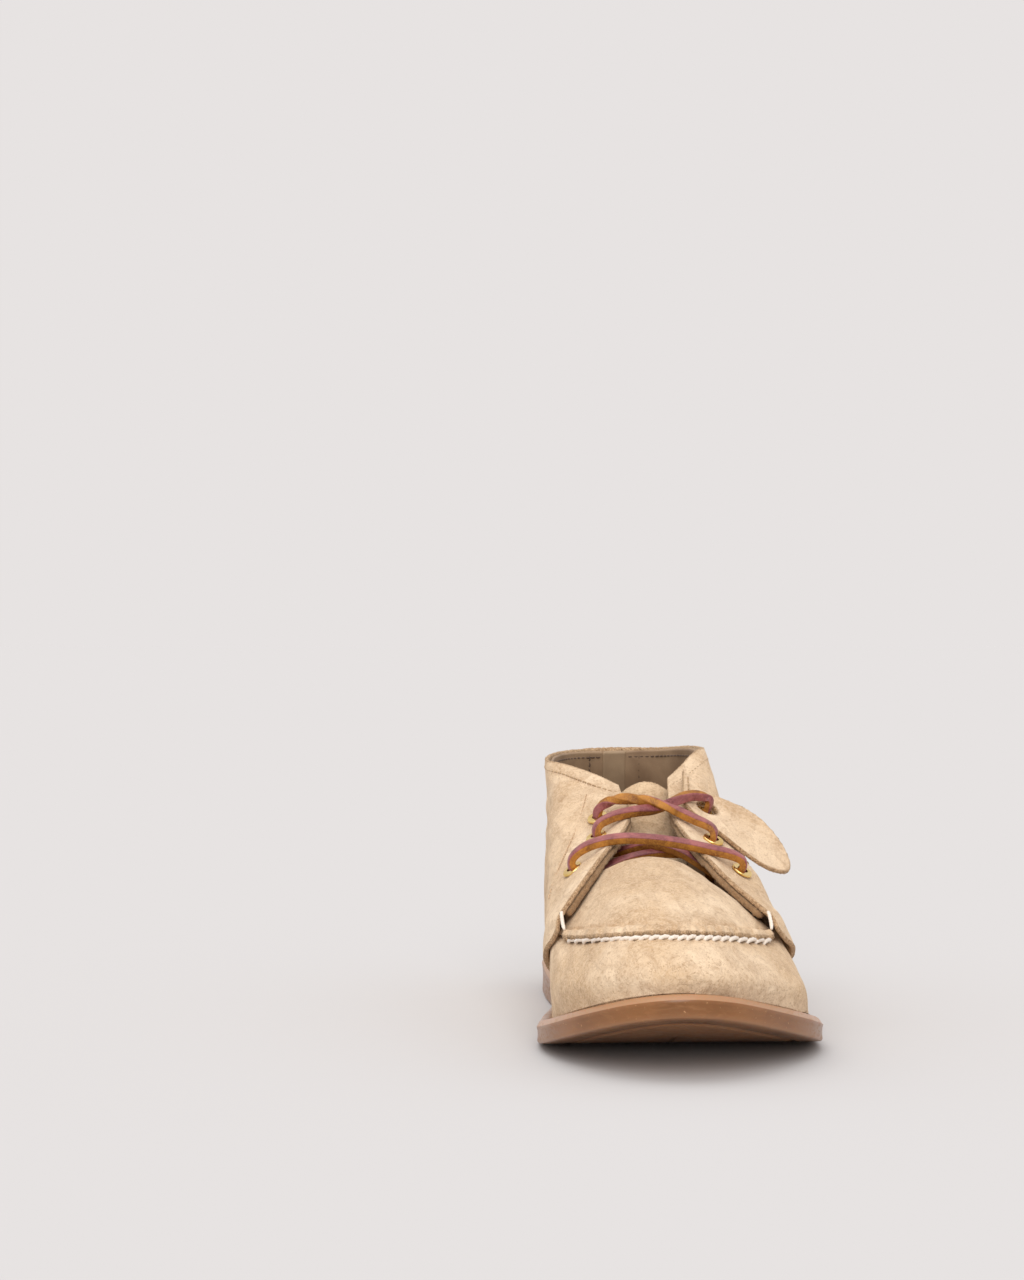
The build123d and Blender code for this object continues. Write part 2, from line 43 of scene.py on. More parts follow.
# ---- the last: the same body of the shoe that the frame was built on, in mm ----
# Toe spring and where it runs, then the sole's thickness at forefoot and heel and where that changes.
TOE_SPRING, SPRING_START, SPRING_END, SPRING_POWER = 24.0, -40.0, -149.0, 1.6
SOLE_FORE, SOLE_HEEL, WEDGE_START, WEDGE_END = 9.3, 16.0, -20.0, 110.0
SOLE_TAPER, TAPER_HEIGHT = 1.6, 50.0
SUEDE, PLY_GAP, SEAT_GAP, LINING, STAY = 2.0, 0.3, 0.4, 1.1, 1.9
SOLE_OUTLINE = np.array([
    (-8, -149), (13, -142.5), (34.5, -120), (49.5, -95), (57, -68), (57.5, -42), (52, -8),
    (45, 30), (38.5, 72), (34.5, 108), (22, 137), (-4, 149), (-29, 138.5), (-41, 112),
    (-43, 80), (-42, 48), (-43, 15), (-48, -14), (-53, -40), (-55, -68), (-51, -96),
    (-42, -120), (-27, -140.5),
], float)
# Each rib of the last: its foot on the sole as x and y, then a point at every further level.
RIBS = [
    [(-8, -143.5), (-8, -144.2, 40), (-9, -127.5, 50.6), (-9, -60, 66), (-8, -5, 80), (-6, 30, 94)],
    [(19, -130), (20, -130, 36.5), (11, -114.5, 48.8), (5, -55, 65), (2, -6, 79), (1, 32, 94)],
    [(45, -93), (44, -93, 29), (35, -72, 43.3), (17, -50, 60.5), (5.5, -8, 79.5), (8, 35, 95.3)],
    [(51.5, -51), (48, -50, 26.5), (40.5, -42, 47), (30.5, -26, 64), (18, 6, 82.5), (14.5, 45, 101.5)],
    [(46, -8), (43.0, -8, 28), (39, -2, 50), (34, 8, 67), (27.5, 28, 85), (20.5, 57, 107)],
    [(39.5, 38), (39.5, 38, 30), (36, 40, 54), (32.5, 45, 72), (28.5, 55, 90), (25.5, 71, 109)],
    [(31, 92), (32, 92, 33), (29, 92, 58), (26, 92, 76), (24, 92, 93), (22.5, 92, 109)],
    [(18, 128), (19, 130, 34), (16.5, 126, 60), (13.5, 122, 77), (12, 118, 93), (11.5, 116, 107.3)],
    [(-5, 143), (-5, 145.5, 36), (-6, 140, 62), (-6.5, 134, 79), (-7, 129, 94), (-7, 126, 106.3)],
    [(-26, 129), (-27, 131, 34), (-26.5, 127, 60), (-26, 122, 77), (-26, 118, 93), (-26, 116, 106.3)],
    [(-36.5, 92), (-38.5, 92, 33), (-37.5, 92, 58), (-36.5, 92, 76), (-36.5, 92, 93), (-37, 92, 105.5)],
    [(-36.5, 38), (-39, 38, 30), (-40.5, 40, 54), (-40, 45, 72), (-39.5, 54, 89), (-39.5, 65, 103.8)],
    [(-41, -10), (-43.5, -10, 28), (-44, -5, 50), (-42, 4, 66), (-37, 24, 83), (-30.5, 49, 101)],
    [(-48, -50), (-48.5, -52, 28), (-47, -45, 46), (-39, -28, 62), (-27, 2, 79), (-20.5, 38, 97)],
    [(-46.5, -93), (-48, -92, 30), (-43.5, -72, 44), (-28, -50, 64), (-13.5, -10, 79.5), (-14, 32, 92.3)],
    [(-32, -130), (-33, -130, 37), (-28.5, -116, 49), (-19, -56, 65), (-12, -6, 79), (-10, 31, 94)],
]
LEVELS = np.array([0.0, 0.18, 0.38, 0.57, 0.78, 1.0])
# Rib numbers of toe, heel and inner facing, and the level of the moc seam.
TOE, HEEL, FACING_MED, SEAM = 16, 8.0, 14.0, 0.38
WALL, TAB_LIFT, FACING_LIFT, VAMP_SINK = 0.45, 0.5, 4.0, 0.7
# Widths and places counted in ribs.
QUARTER_TAB, VAMP_RIBS = 3.2, 10.8
STAY_RIBS, LINING_FRONT, BACKSTAY_RIBS, STRIP_RIBS = 1.25, 12.62, 0.56, 0.26


def tread(y):
    """Height of the sole's underside."""
    return TOE_SPRING * (np.maximum(SPRING_START - y, 0) / (SPRING_START - SPRING_END)) ** SPRING_POWER


def ramp(x, x0, x1):
    """Rises smoothly from 0 at x0 to 1 at x1."""
    t = np.clip((x - x0) / (x1 - x0), 0.0, 1.0)
    return t * t * (3 - 2 * t)


def sole_top(y):
    return tread(y) + SOLE_FORE + (SOLE_HEEL - SOLE_FORE) * ramp(y, WEDGE_START, WEDGE_END)


def cubic(a, b, c, d, t):
    """A smooth curve from b at t = 0 to c at t = 1."""
    return 0.5 * (2 * b + (c - a) * t + (2 * a - 5 * b + 4 * c - d) * t ** 2
                  + (3 * b - a - 3 * c + d) * t ** 3)


GRID = np.array([[(r[0][0], r[0][1], sole_top(r[0][1]))] + r[1:] for r in RIBS], float)


def last(theta, v):
    """Points on the outer face of the last, for arrays of rib number and level."""
    theta, v = np.broadcast_arrays(np.asarray(theta, float), np.asarray(v, float))
    i = np.floor(theta).astype(int)
    t = (theta - i)[..., None, None]
    pts = cubic(*(GRID[(i + k) % len(GRID)] for k in (-1, 0, 1, 2)), t)
    first = 2 * pts[..., :1, :] - pts[..., 1:2, :]
    final = 2 * pts[..., 5:, :] - pts[..., 4:5, :]
    pts = np.concatenate([first, pts, final], axis=-2)
    k = np.clip(np.searchsorted(LEVELS, v, side="left") - 1, 0, 4)
    four = [np.take_along_axis(pts, (k + n)[..., None, None], axis=-2)[..., 0, :] for n in range(4)]
    s = ((v - LEVELS[k]) / (LEVELS[k + 1] - LEVELS[k]))[..., None]
    return cubic(*four, s)


def unit(w):
    return w / np.maximum(np.linalg.norm(w, axis=-1, keepdims=True), 1e-9)


def outward(theta, v):
    """Direction away from the last's face."""
    step = 0.02
    along = last(theta + step, v) - last(theta - step, v)
    rising = last(theta, v + step / 4) - last(theta, v - step / 4)
    return unit(np.cross(along, rising))


def on_last(theta, v, off):
    """Points off the last's face by some mm."""
    off = np.broadcast_to(np.asarray(off, float), np.broadcast(theta, v).shape)
    return last(theta, v) + outward(theta, v) * off[..., None]


def side_word(side):
    return "medial" if side < 0 else "lateral"


def mirror_rib(theta, side):
    """Rib number on the outer side (side 1) for one counted on the inner side."""
    return 2 * HEEL - theta if side > 0 else theta


def facing_lift(ribs_back, v):
    """How far the facing stands off the last, some ribs back from its front edge."""
    rise = ramp(v, 0.33, 0.42) * (1 - 0.75 * ramp(v, 0.55, 0.95))
    return (FACING_LIFT * rise + TAB_LIFT) * np.exp(-(ribs_back / 0.62) ** 2)


def quarter_front(v):
    """Rib of the quarter's front edge, which slopes back towards the heel below the moc seam."""
    return FACING_MED - QUARTER_TAB * np.maximum(1 - v / SEAM, 0) ** 1.1


def wander(p, size, seed, waves=9):
    """Smooth random relief, about -1 to 1, with bumps about size mm across."""
    r = np.random.default_rng(seed)
    total = 0
    for _ in range(waves):
        k = unit(r.normal(size=3)) * 2 * math.pi / (size * r.uniform(0.7, 1.5))
        total = total + np.sin(p @ k + r.uniform(0, 6.28) + 0.9 * np.sin(p @ np.roll(k, 1) * 0.6))
    return total / math.sqrt(waves) / 1.4


# ---- meshes ----
WELD = 1e-6                            # metres, points closer than this are one
EDGE_FUZZ = 0.17                       # random spread of a raw edge, as a share of half its thickness
EDGE_TINT = 0.7                        # raw colour where the faces meet the edge


def add_mesh(name, verts, faces, body, materials, edge=None, face_material=None):
    """A mesh from points in mm, carried by one body; edge is the edge-colour share of each point: the
    raw-edge colour on leather, and on the sole a painted highlight on the top rim and wear on the foot
    edge.
    """
    mesh = bpy.data.meshes.new(name)
    mesh.from_pydata([tuple(p) for p in np.asarray(verts) * MM], [], faces)
    for m in materials:
        mesh.materials.append(m)
    if face_material is not None:
        mesh.polygons.foreach_set("material_index", np.asarray(face_material, np.int32))
    if edge is not None:
        mesh.attributes.new("raw_edge_wear_and_highlight", "FLOAT", "POINT").data.foreach_set(
            "value", np.asarray(edge, np.float32))
    mesh.polygons.foreach_set("use_smooth", [True] * len(mesh.polygons))
    bm = bmesh.new()
    bm.from_mesh(mesh)
    bmesh.ops.remove_doubles(bm, verts=bm.verts, dist=WELD)
    bmesh.ops.recalc_face_normals(bm, faces=bm.faces)
    bm.to_mesh(mesh)
    bm.free()
    piece = bpy.data.objects.new(name, mesh)
    bpy.context.scene.collection.objects.link(piece)
    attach(piece, body)
    return piece


def grid_faces(rows, cols, start=0, wrap_rows=False, wrap_cols=False):
    faces = []
    for i in range(rows if wrap_rows else rows - 1):
        for j in range(cols if wrap_cols else cols - 1):
            i2, j2 = (i + 1) % rows, (j + 1) % cols
            faces.append((start + i * cols + j, start + i2 * cols + j,
                          start + i2 * cols + j2, start + i * cols + j2))
    return faces


def panel(name, outer, inner, body, materials, bulge=0.45, rings=4, wrap=False):
    """A leather panel between two grids of points, with a rounded raw edge all round.
    With wrap the rows close on themselves. Edges of two rings stay smooth."""
    rows, cols = outer.shape[:2]
    n = rows * cols
    verts = [outer.reshape(-1, 3), inner.reshape(-1, 3)]
    faces = grid_faces(rows, cols, 0, wrap_rows=wrap) + grid_faces(rows, cols, n, wrap_rows=wrap)
    mid = (outer + inner) / 2
    if wrap:
        loops = [[(i, 0, i, 1) for i in range(rows)], [(i, cols - 1, i, cols - 2) for i in range(rows)]]
    else:
        loop = [(i, 0, i, 1) for i in range(rows - 1)]
        loop += [(rows - 1, j, rows - 2, j) for j in range(cols - 1)]
        loop += [(i, cols - 1, i, cols - 2) for i in range(rows - 1, 0, -1)]
        loop += [(0, j, 1, j) for j in range(cols - 1, 0, -1)]
        loops = [loop]
    edge = np.zeros(2 * n)
    count = 2 * n
    fuzz = EDGE_FUZZ if rings > 2 else 0
    for loop in loops:
        at = np.array([mid[a, b] for a, b, _, _ in loop])
        inside = np.array([mid[c, d] for _, _, c, d in loop])
        out_dir = unit(at - inside)
        top = np.array([outer[a, b] for a, b, _, _ in loop])
        half = top - at
        thick = np.linalg.norm(half, axis=1, keepdims=True)
        index = [[a * cols + b for a, b, _, _ in loop]]
        for k in range(1, rings + 1):
            phi = math.pi * k / (rings + 1)
            ring = at + half * math.cos(phi) + out_dir * thick * bulge * 2 * math.sin(phi)
            rough = 1 + fuzz * rng.normal(size=(len(loop), 1))
            ring = at + (ring - at) * rough
            verts.append(ring)
            index.append(list(range(count, count + len(loop))))
            count += len(loop)
            edge = np.concatenate([edge, np.full(len(loop), 1.0)])
        index.append([n + a * cols + b for a, b, _, _ in loop])
        edge[index[0]] = EDGE_TINT
        edge[index[-1]] = EDGE_TINT
        for p, q in zip(index, index[1:]):
            for k in range(len(loop)):
                k2 = (k + 1) % len(loop)
                faces.append((p[k], p[k2], q[k2], q[k]))
    points = np.concatenate(verts)
    return add_mesh(name, points, faces, body, materials, edge)


def sample(rows, cols, warp_a=None, warp_b=None):
    """Two grids of shares from 0 to 1, along the rows and across them."""
    a, b = np.linspace(0, 1, rows), np.linspace(0, 1, cols)
    a = warp_a(a) if warp_a else a
    b = warp_b(b) if warp_b else b
    return np.meshgrid(a, b, indexing="ij")


def seat(points):
    """Keeps a panel above the upper face of the sole."""
    floor_z = sole_top(points[..., 1]) + SEAT_GAP
    points[..., 2] = np.maximum(points[..., 2], floor_z)
    return points


def normals(points):
    return unit(np.cross(np.gradient(points, axis=0), np.gradient(points, axis=1)))


# ---- materials ----
def srgb(r, g, b):
    """Linear colour from a colour as the eye names it, 0 to 255."""
    shares = [c / 255 for c in (r, g, b)]
    return tuple(((c + 0.055) / 1.055) ** 2.4 if c > 0.0404 else c / 12.92 for c in shares) + (1.0,)


class Nodes:
    """A short way to write a node material; sizes are in mm."""

    def __init__(self, name, **sockets):
        self.material = bpy.data.materials.new(name)
        self.material.use_nodes = True
        self.tree = self.material.node_tree
        self.shader = self.tree.nodes["Principled BSDF"]
        for socket, value in sockets.items():
            self.shader.inputs[socket.replace("_", " ")].default_value = value
        self.place = self.new("ShaderNodeTexCoord").outputs["Object"]

    def new(self, kind, **settings):
        node = self.tree.nodes.new(kind)
        for key, value in settings.items():
            setattr(node, key, value)
        return node

    def link(self, source, target):
        self.tree.links.new(source, target)

    def noise(self, size_mm, detail=3.0, stretch=(1, 1, 1), distortion=0.0, roughness=0.5):
        mapping = self.new("ShaderNodeMapping")
        mapping.inputs["Scale"].default_value = stretch
        self.link(self.place, mapping.inputs["Vector"])
        node = self.new("ShaderNodeTexNoise")
        node.inputs["Scale"].default_value = 1000.0 / size_mm
        node.inputs["Detail"].default_value = detail
        node.inputs["Distortion"].default_value = distortion
        node.inputs["Roughness"].default_value = roughness
        self.link(mapping.outputs["Vector"], node.inputs["Vector"])
        return node.outputs["Fac"]

    def cells(self, size_mm):
        node = self.new("ShaderNodeTexVoronoi")
        node.inputs["Scale"].default_value = 1000.0 / size_mm
        self.link(self.place, node.inputs["Vector"])
        return node.outputs["Distance"]

    def between(self, value, low, high, out_low=0.0, out_high=1.0):
        node = self.new("ShaderNodeMapRange", clamp=True)
        self.link(value, node.inputs["Value"])
        limits = {"From Min": low, "From Max": high, "To Min": out_low, "To Max": out_high}
        for socket, number in limits.items():
            node.inputs[socket].default_value = number
        return node.outputs["Result"]

    def mix(self, factor, one, two):
        node = self.new("ShaderNodeMix", data_type="RGBA")
        if isinstance(factor, (int, float)):
            node.inputs[0].default_value = factor
        else:
            self.link(factor, node.inputs[0])
        for socket, colour in ((6, one), (7, two)):
            if isinstance(colour, tuple):
                node.inputs[socket].default_value = colour
            else:
                self.link(colour, node.inputs[socket])
        return node.outputs[2]

    def attribute(self, name):
        return self.new("ShaderNodeAttribute", attribute_name=name).outputs["Fac"]

    def math(self, operation, one, two):
        node = self.new("ShaderNodeMath", operation=operation)
        for k, value in enumerate((one, two)):
            if isinstance(value, (int, float)):
                node.inputs[k].default_value = value
            else:
                self.link(value, node.inputs[k])
        return node.outputs[0]

    def finish(self, colour, roughness=None, bumps=()):
        self.link(colour, self.shader.inputs["Base Color"])
        if roughness is not None:
            self.link(roughness, self.shader.inputs["Roughness"])
        before = None
        for height, strength, distance_mm in bumps:
            node = self.new("ShaderNodeBump")
            node.inputs["Strength"].default_value = strength
            node.inputs["Distance"].default_value = distance_mm * MM
            self.link(height, node.inputs["Height"])
            if before:
                self.link(before, node.inputs["Normal"])
            before = node.outputs["Normal"]
        if before:
            self.link(before, self.shader.inputs["Normal"])
        return self.material


def suede(name, light, mid, dark, edge_colour):
    """Napped split leather: cloudy colour, brushed streaks, curly short nap, fuzzy raw edges."""
    n = Nodes(name, Roughness=0.95, Specular_IOR_Level=0.12, Sheen_Weight=0.35, Sheen_Roughness=0.6,
              Sheen_Tint=srgb(255, 236, 208))
    clouds = n.between(n.noise(34, 3, distortion=0.8), 0.40, 0.62)
    brushed = n.between(n.noise(9, 4, stretch=(1.0, 0.45, 1.0), distortion=1.6), 0.42, 0.62)
    rubbed = n.between(n.noise(18, 4, distortion=1.2), 0.54, 0.68)
    nap = n.noise(2.8, 6, distortion=2.4, roughness=0.72)
    curl = n.between(nap, 0.42, 0.58)
    base = n.mix(clouds, mid, light)
    base = n.mix(n.math("MULTIPLY", brushed, 0.40), base, dark)
    base = n.mix(n.math("MULTIPLY", rubbed, 0.34), base, dark)
    base = n.mix(n.math("MULTIPLY", curl, 0.5), base, light)
    pores = n.between(n.noise(1.3, 4, distortion=1.4, roughness=0.65), 0.53, 0.62)
    base = n.mix(n.math("MULTIPLY", pores, 0.45), base, dark)
    fibres = n.noise(0.9, 3, distortion=2.0)
    raw = n.mix(n.between(fibres, 0.40, 0.60), edge_colour, mid)
    base = n.mix(n.attribute("raw_edge_wear_and_highlight"), base, raw)
    rough = n.between(brushed, 0.0, 1.0, 0.9, 1.0)
    return n.finish(base, rough, [(brushed, 0.4, 0.6), (nap, 1.0, 0.55), (fibres, 0.5, 0.2)])


def pebbled(name, light, dark, grain_mm, roughness):
    n = Nodes(name, Specular_IOR_Level=0.35)
    patch_ = n.between(n.noise(22, 3), 0.35, 0.65)
    pebble = n.cells(grain_mm)
    fine = n.noise(0.7, 3)
    base = n.mix(patch_, dark, light)
    base = n.mix(n.between(pebble, 0.0, 0.35, 0.0, 0.25), base, dark)
    rough = n.between(fine, 0.3, 0.7, roughness - 0.08, roughness + 0.1)
    return n.finish(base, rough, [(pebble, 0.30, 0.12), (fine, 0.25, 0.06)])


def thread(name, light, dark):
    n = Nodes(name, Roughness=0.7, Specular_IOR_Level=0.3, Sheen_Weight=0.2)
    fibre = n.noise(0.35, 3, distortion=1.0)
    soil = n.between(n.noise(6, 2), 0.4, 0.7)
    base = n.mix(n.between(fibre, 0.3, 0.7), dark, light)
    base = n.mix(n.math("MULTIPLY", soil, 0.25), base, dark)
    return n.finish(base, n.between(fibre, 0.3, 0.7, 0.6, 0.85), [(fibre, 0.4, 0.08)])


SUEDE_MAT = suede(
    "suede_sand", srgb(236, 210, 178), srgb(205, 172, 134), srgb(152, 114, 78), srgb(134, 100, 70))
TONGUE_MAT = suede(
    "suede_tongue", srgb(228, 200, 164), srgb(198, 164, 126), srgb(152, 114, 80), srgb(146, 112, 80))
FLESH_MAT = suede(
    "suede_flesh_side", srgb(188, 156, 120), srgb(160, 126, 90), srgb(120, 90, 62), srgb(128, 96, 66))
LINING_MAT = pebbled("lining_grain", srgb(170, 142, 112), srgb(128, 102, 78), 1.1, 0.58)
STRIP_MAT = pebbled("lining_strip", srgb(172, 146, 116), srgb(134, 110, 86), 1.0, 0.6)
SOCK_MAT = pebbled("sock_leather", srgb(176, 142, 104), srgb(140, 106, 74), 1.3, 0.55)
WHITE_THREAD = thread("thread_white", srgb(244, 236, 226), srgb(214, 198, 180))
TAN_THREAD = thread("thread_tan", srgb(206, 178, 142), srgb(158, 126, 92))
SAND_THREAD = thread("thread_sand", srgb(222, 194, 160), srgb(190, 158, 122))
BROWN_THREAD = thread("thread_brown", srgb(112, 88, 68), srgb(72, 54, 40))


def gum_material():
    n = Nodes("gum_rubber", Specular_IOR_Level=0.45, Subsurface_Weight=0.12, Subsurface_Scale=0.004)
    cloud = n.between(n.noise(26, 3), 0.35, 0.65)
    scuff = n.between(n.noise(5, 4, stretch=(1, 1, 3.5), distortion=0.8), 0.48, 0.72)
    speck = n.between(n.noise(1.1, 1), 0.72, 0.76)
    base = n.mix(cloud, srgb(122, 78, 40), srgb(140, 92, 50))
    base = n.mix(n.math("MULTIPLY", scuff, 0.35), base, srgb(156, 108, 66))
    base = n.mix(n.math("MULTIPLY", speck, 0.6), base, srgb(196, 150, 104))
    # Lighter where the edge share is set: painted highlight on the sole's top rim and the upper face
    # beside it, and wear on its foot edge.
    base = n.mix(n.attribute("raw_edge_wear_and_highlight"), base, srgb(178, 134, 98))
    rough = n.between(scuff, 0.0, 1.0, 0.28, 0.46)
    return n.finish(base, rough, [(scuff, 0.15, 0.1), (n.noise(0.9, 3), 0.12, 0.05)])


def lace_material(name, light, dark, glow, roughness):
    n = Nodes(name, Roughness=roughness, Specular_IOR_Level=0.5)
    pull = n.between(n.noise(7, 3, distortion=0.8), 0.35, 0.68)
    fibre = n.noise(0.9, 4, distortion=1.4)
    base = n.mix(pull, dark, light)
    base = n.mix(n.between(fibre, 0.42, 0.7, 0.0, 0.55), base, glow)
    rough = n.between(fibre, 0.3, 0.7, roughness - 0.1, roughness + 0.12)
    return n.finish(base, rough, [(fibre, 0.45, 0.14)])


def brass_material():
    n = Nodes("brass_polished", Metallic=1.0)
    tone = n.between(n.noise(3, 3), 0.35, 0.65)
    scratch = n.noise(0.5, 3, stretch=(1, 4, 1))
    base = n.mix(tone, srgb(228, 190, 110), srgb(246, 218, 150))
    return n.finish(base, n.between(scratch, 0.3, 0.7, 0.16, 0.3), [(scratch, 0.08, 0.03)])


def plain_core(name, light, dark, size_mm, roughness):
    n = Nodes(name, Roughness=roughness)
    fibre = n.noise(size_mm, 4, distortion=0.8)
    base = n.mix(n.between(fibre, 0.3, 0.7), dark, light)
    rough = n.between(fibre, 0.3, 0.7, roughness - 0.08, roughness + 0.05)
    return n.finish(base, rough, [(fibre, 0.3, 0.15)])


GUM = gum_material()
LACE_GRAIN = lace_material("lace_grain", srgb(156, 88, 86), srgb(108, 50, 52), srgb(178, 110, 106), 0.42)
LACE_FLESH = lace_material("lace_flesh", srgb(178, 116, 40), srgb(120, 68, 18), srgb(206, 148, 62), 0.65)
BRASS = brass_material()

# ---- sole unit ----
FEATHER = GRID[:, 0, :2]


def closed_curve(outline, count):
    t = np.arange(count) * len(outline) / count
    i = np.floor(t).astype(int)
    n = len(outline)
    return cubic(*(outline[(i + k) % n] for k in (-1, 0, 1, 2)), (t - i)[:, None])


def inset(curve, distance):
    run = np.roll(curve, -1, 0) - np.roll(curve, 1, 0)
    side = unit(np.stack([-run[:, 1], run[:, 0]], 1))
    return curve + side * distance


def collapse(curve, share):
    """The curve drawn in towards the foot's middle line."""
    core = np.stack([np.full(len(curve), -5.0), np.clip(curve[:, 1], -104, 100)], 1)
    return core + (curve - core) * share


def ring_body(name, rings, material, edge):
    """A solid from closed rings of equal count, from the middle underneath to the middle on top."""
    count = len(rings[0])
    verts = np.concatenate(rings)
    faces = grid_faces(len(rings), count, wrap_cols=True)
    faces.append(tuple(range(count)))
    faces.append(tuple(reversed(range(len(rings) * count - count, len(rings) * count))))
    return add_mesh(name, verts, faces, "shoe", [material], edge)


RIM = 2.9                              # height of the bevelled rim at the top of the sidewall
FOOT_EDGE = 1.1                        # height of the rounded edge round the tread
GROOVE_DEPTH = 1.3
GROOVE_INNER, GROOVE_OUTER = (13.4, 12.4), (10.9, 10.4)   # insets of its two sloped walls
HOLLOW = 0.12                          # the tread's middle stays this far off the ground


def outsole():
    curve = closed_curve(SOLE_OUTLINE, 420)
    rings, edge = [], []

    # The last share paints the sole lighter: painted highlight on the top rim, wear on the foot edge.
    def add(shape, height, highlight_and_wear=0.0):
        rings.append(np.column_stack([shape, height(shape[:, 1])]))
        edge.extend([highlight_and_wear] * len(shape))

    def lean(height, extra):
        """The outline drawn in by the sidewall's taper at one height, and a little more."""
        z = tread(curve[:, 1]) + height
        return inset(curve, SOLE_TAPER * (TAPER_HEIGHT - 5 - z.mean()) / TAPER_HEIGHT + extra)

    def above_tread(height):
        return lambda y: tread(y) + height

    def below_top(depth):
        return lambda y: sole_top(y) - depth

    def side_height(share):
        return lambda y: tread(y) + FOOT_EDGE + (sole_top(y) - RIM - tread(y) - FOOT_EDGE) * share

    for share in (0.02, 0.2, 0.4, 0.6, 0.8, 0.92, 1.0):
        add(collapse(inset(curve, GROOVE_INNER[0]), share), above_tread(HOLLOW))
    add(inset(curve, GROOVE_INNER[1]), above_tread(GROOVE_DEPTH))
    add(inset(curve, GROOVE_OUTER[0]), above_tread(GROOVE_DEPTH))
    add(inset(curve, GROOVE_OUTER[1]), tread)
    add(inset(curve, 4.0), tread)
    add(lean(0, 0.9), above_tread(0.02))
    add(lean(0, 0.3), above_tread(0.35), 0.4)
    add(lean(1, 0.02), above_tread(FOOT_EDGE), 0.15)
    for share in (0.25, 0.5, 0.75):
        add(lean(3, 0.05 + 0.22 * math.sin(math.pi * share)), side_height(share))
    add(lean(7, 0.0), below_top(RIM), 0.1)
    # The rim rings carry a painted highlight where the bevel faces up.
    rim = ((7, 0.25, 2.6, 0.9), (8, 1.7, 0.6, 0.9), (8, 2.1, 0.3, 0.6), (8, 2.8, 0.12, 0.3))
    for height, extra, depth, highlight_and_wear in rim:
        add(lean(height, extra), below_top(depth), highlight_and_wear)
    add(inset(curve, 6.0), below_top(0.15), 0.2)
    for share in (1.0, 0.8, 0.5, 0.02):
        add(collapse(inset(curve, 11.0), share), below_top(0.2))
    piece = ring_body("sole_unit", rings, GUM, edge)
    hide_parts("outsole")


SOCK_POINTS = 300
SOCK_INSET = 6.4
SOCK_UNDER, SOCK_CROWN = 6.2, 7.1      # heights above the sole's upper face


def footbed():
    curve = closed_curve(FEATHER, SOCK_POINTS)
    rings = []
    inner = inset(curve, SOCK_INSET)
    for share in (0.02, 0.5, 1.0):
        shape = collapse(inner, share)
        rings.append(np.column_stack([shape, sole_top(shape[:, 1]) + SOCK_UNDER]))
    shape = inset(curve, SOCK_INSET - 0.25)
    rings.append(np.column_stack([shape, sole_top(shape[:, 1]) + SOCK_UNDER + 0.5]))
    for share in (1.0, 0.97, 0.9, 0.75, 0.55, 0.3, 0.02):
        shape = collapse(inner, share)
        wear = 0.18 * wander(np.column_stack([shape, shape[:, 0]]), 30, 5)
        lift = SOCK_CROWN + 0.5 * ramp(1 - share, 0.0, 0.3) + wear
        rings.append(np.column_stack([shape, sole_top(shape[:, 1]) + lift]))
    edge = np.zeros(len(rings) * SOCK_POINTS)
    piece = ring_body("footbed_sock", rings, SOCK_MAT, edge)
    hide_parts("footbed_cover")


# ---- upper ----
MOC_STITCHES = 23
SEAM_FIRST, SEAM_RUN = FACING_MED + 0.16, 3.68          # ribs
SEAM_GAP = 0.008                       # level left free between vamp and apron


def stitch_phase(theta):
    """Which stitch of the moc seam a rib number falls on."""
    return (theta - SEAM_FIRST) / SEAM_RUN * MOC_STITCHES


def vamp():
    a, b = sample(900, 110, warp_b=lambda t: 1 - (1 - t) ** 1.25)
    theta, v = TOE + VAMP_RIBS * (a - 0.5), b * (SEAM - SEAM_GAP)
    base = last(theta, v)
    from_toe = np.abs(theta - TOE)
    near_seam = np.exp(-((SEAM - v) / 0.055) ** 2) * ramp(1.95 - from_toe, 0, 0.2)
    pucker = 0.26 * near_seam * np.cos(2 * math.pi * stitch_phase(theta) + 0.6)
    pressed = 0.85 * np.exp(-((SEAM - v) / 0.02) ** 2)
    relief = 0.45 * wander(base, 42, 11) + 0.10 * wander(base, 9, 12)
    high = -VAMP_SINK * ramp(from_toe, 1.9, 2.4) + pucker - pressed + relief
    outer = seat(base + outward(theta, v) * high[..., None])
    inner = seat(base + outward(theta, v) * (high - SUEDE)[..., None])
    piece = panel("vamp_wall", outer, inner, "shoe", [SUEDE_MAT])
    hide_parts("vamp")


APRON_SIDE, APRON_BACK_Y, APRON_BACK_X = 0.3, -46.0, (-31.0, 13.0)
APRON_BACK_Z, APRON_BACK_DROP, APRON_CROWN, LIP = 72.3, 8.0, 3.4, 3.0
APRON_THICK = 1.8


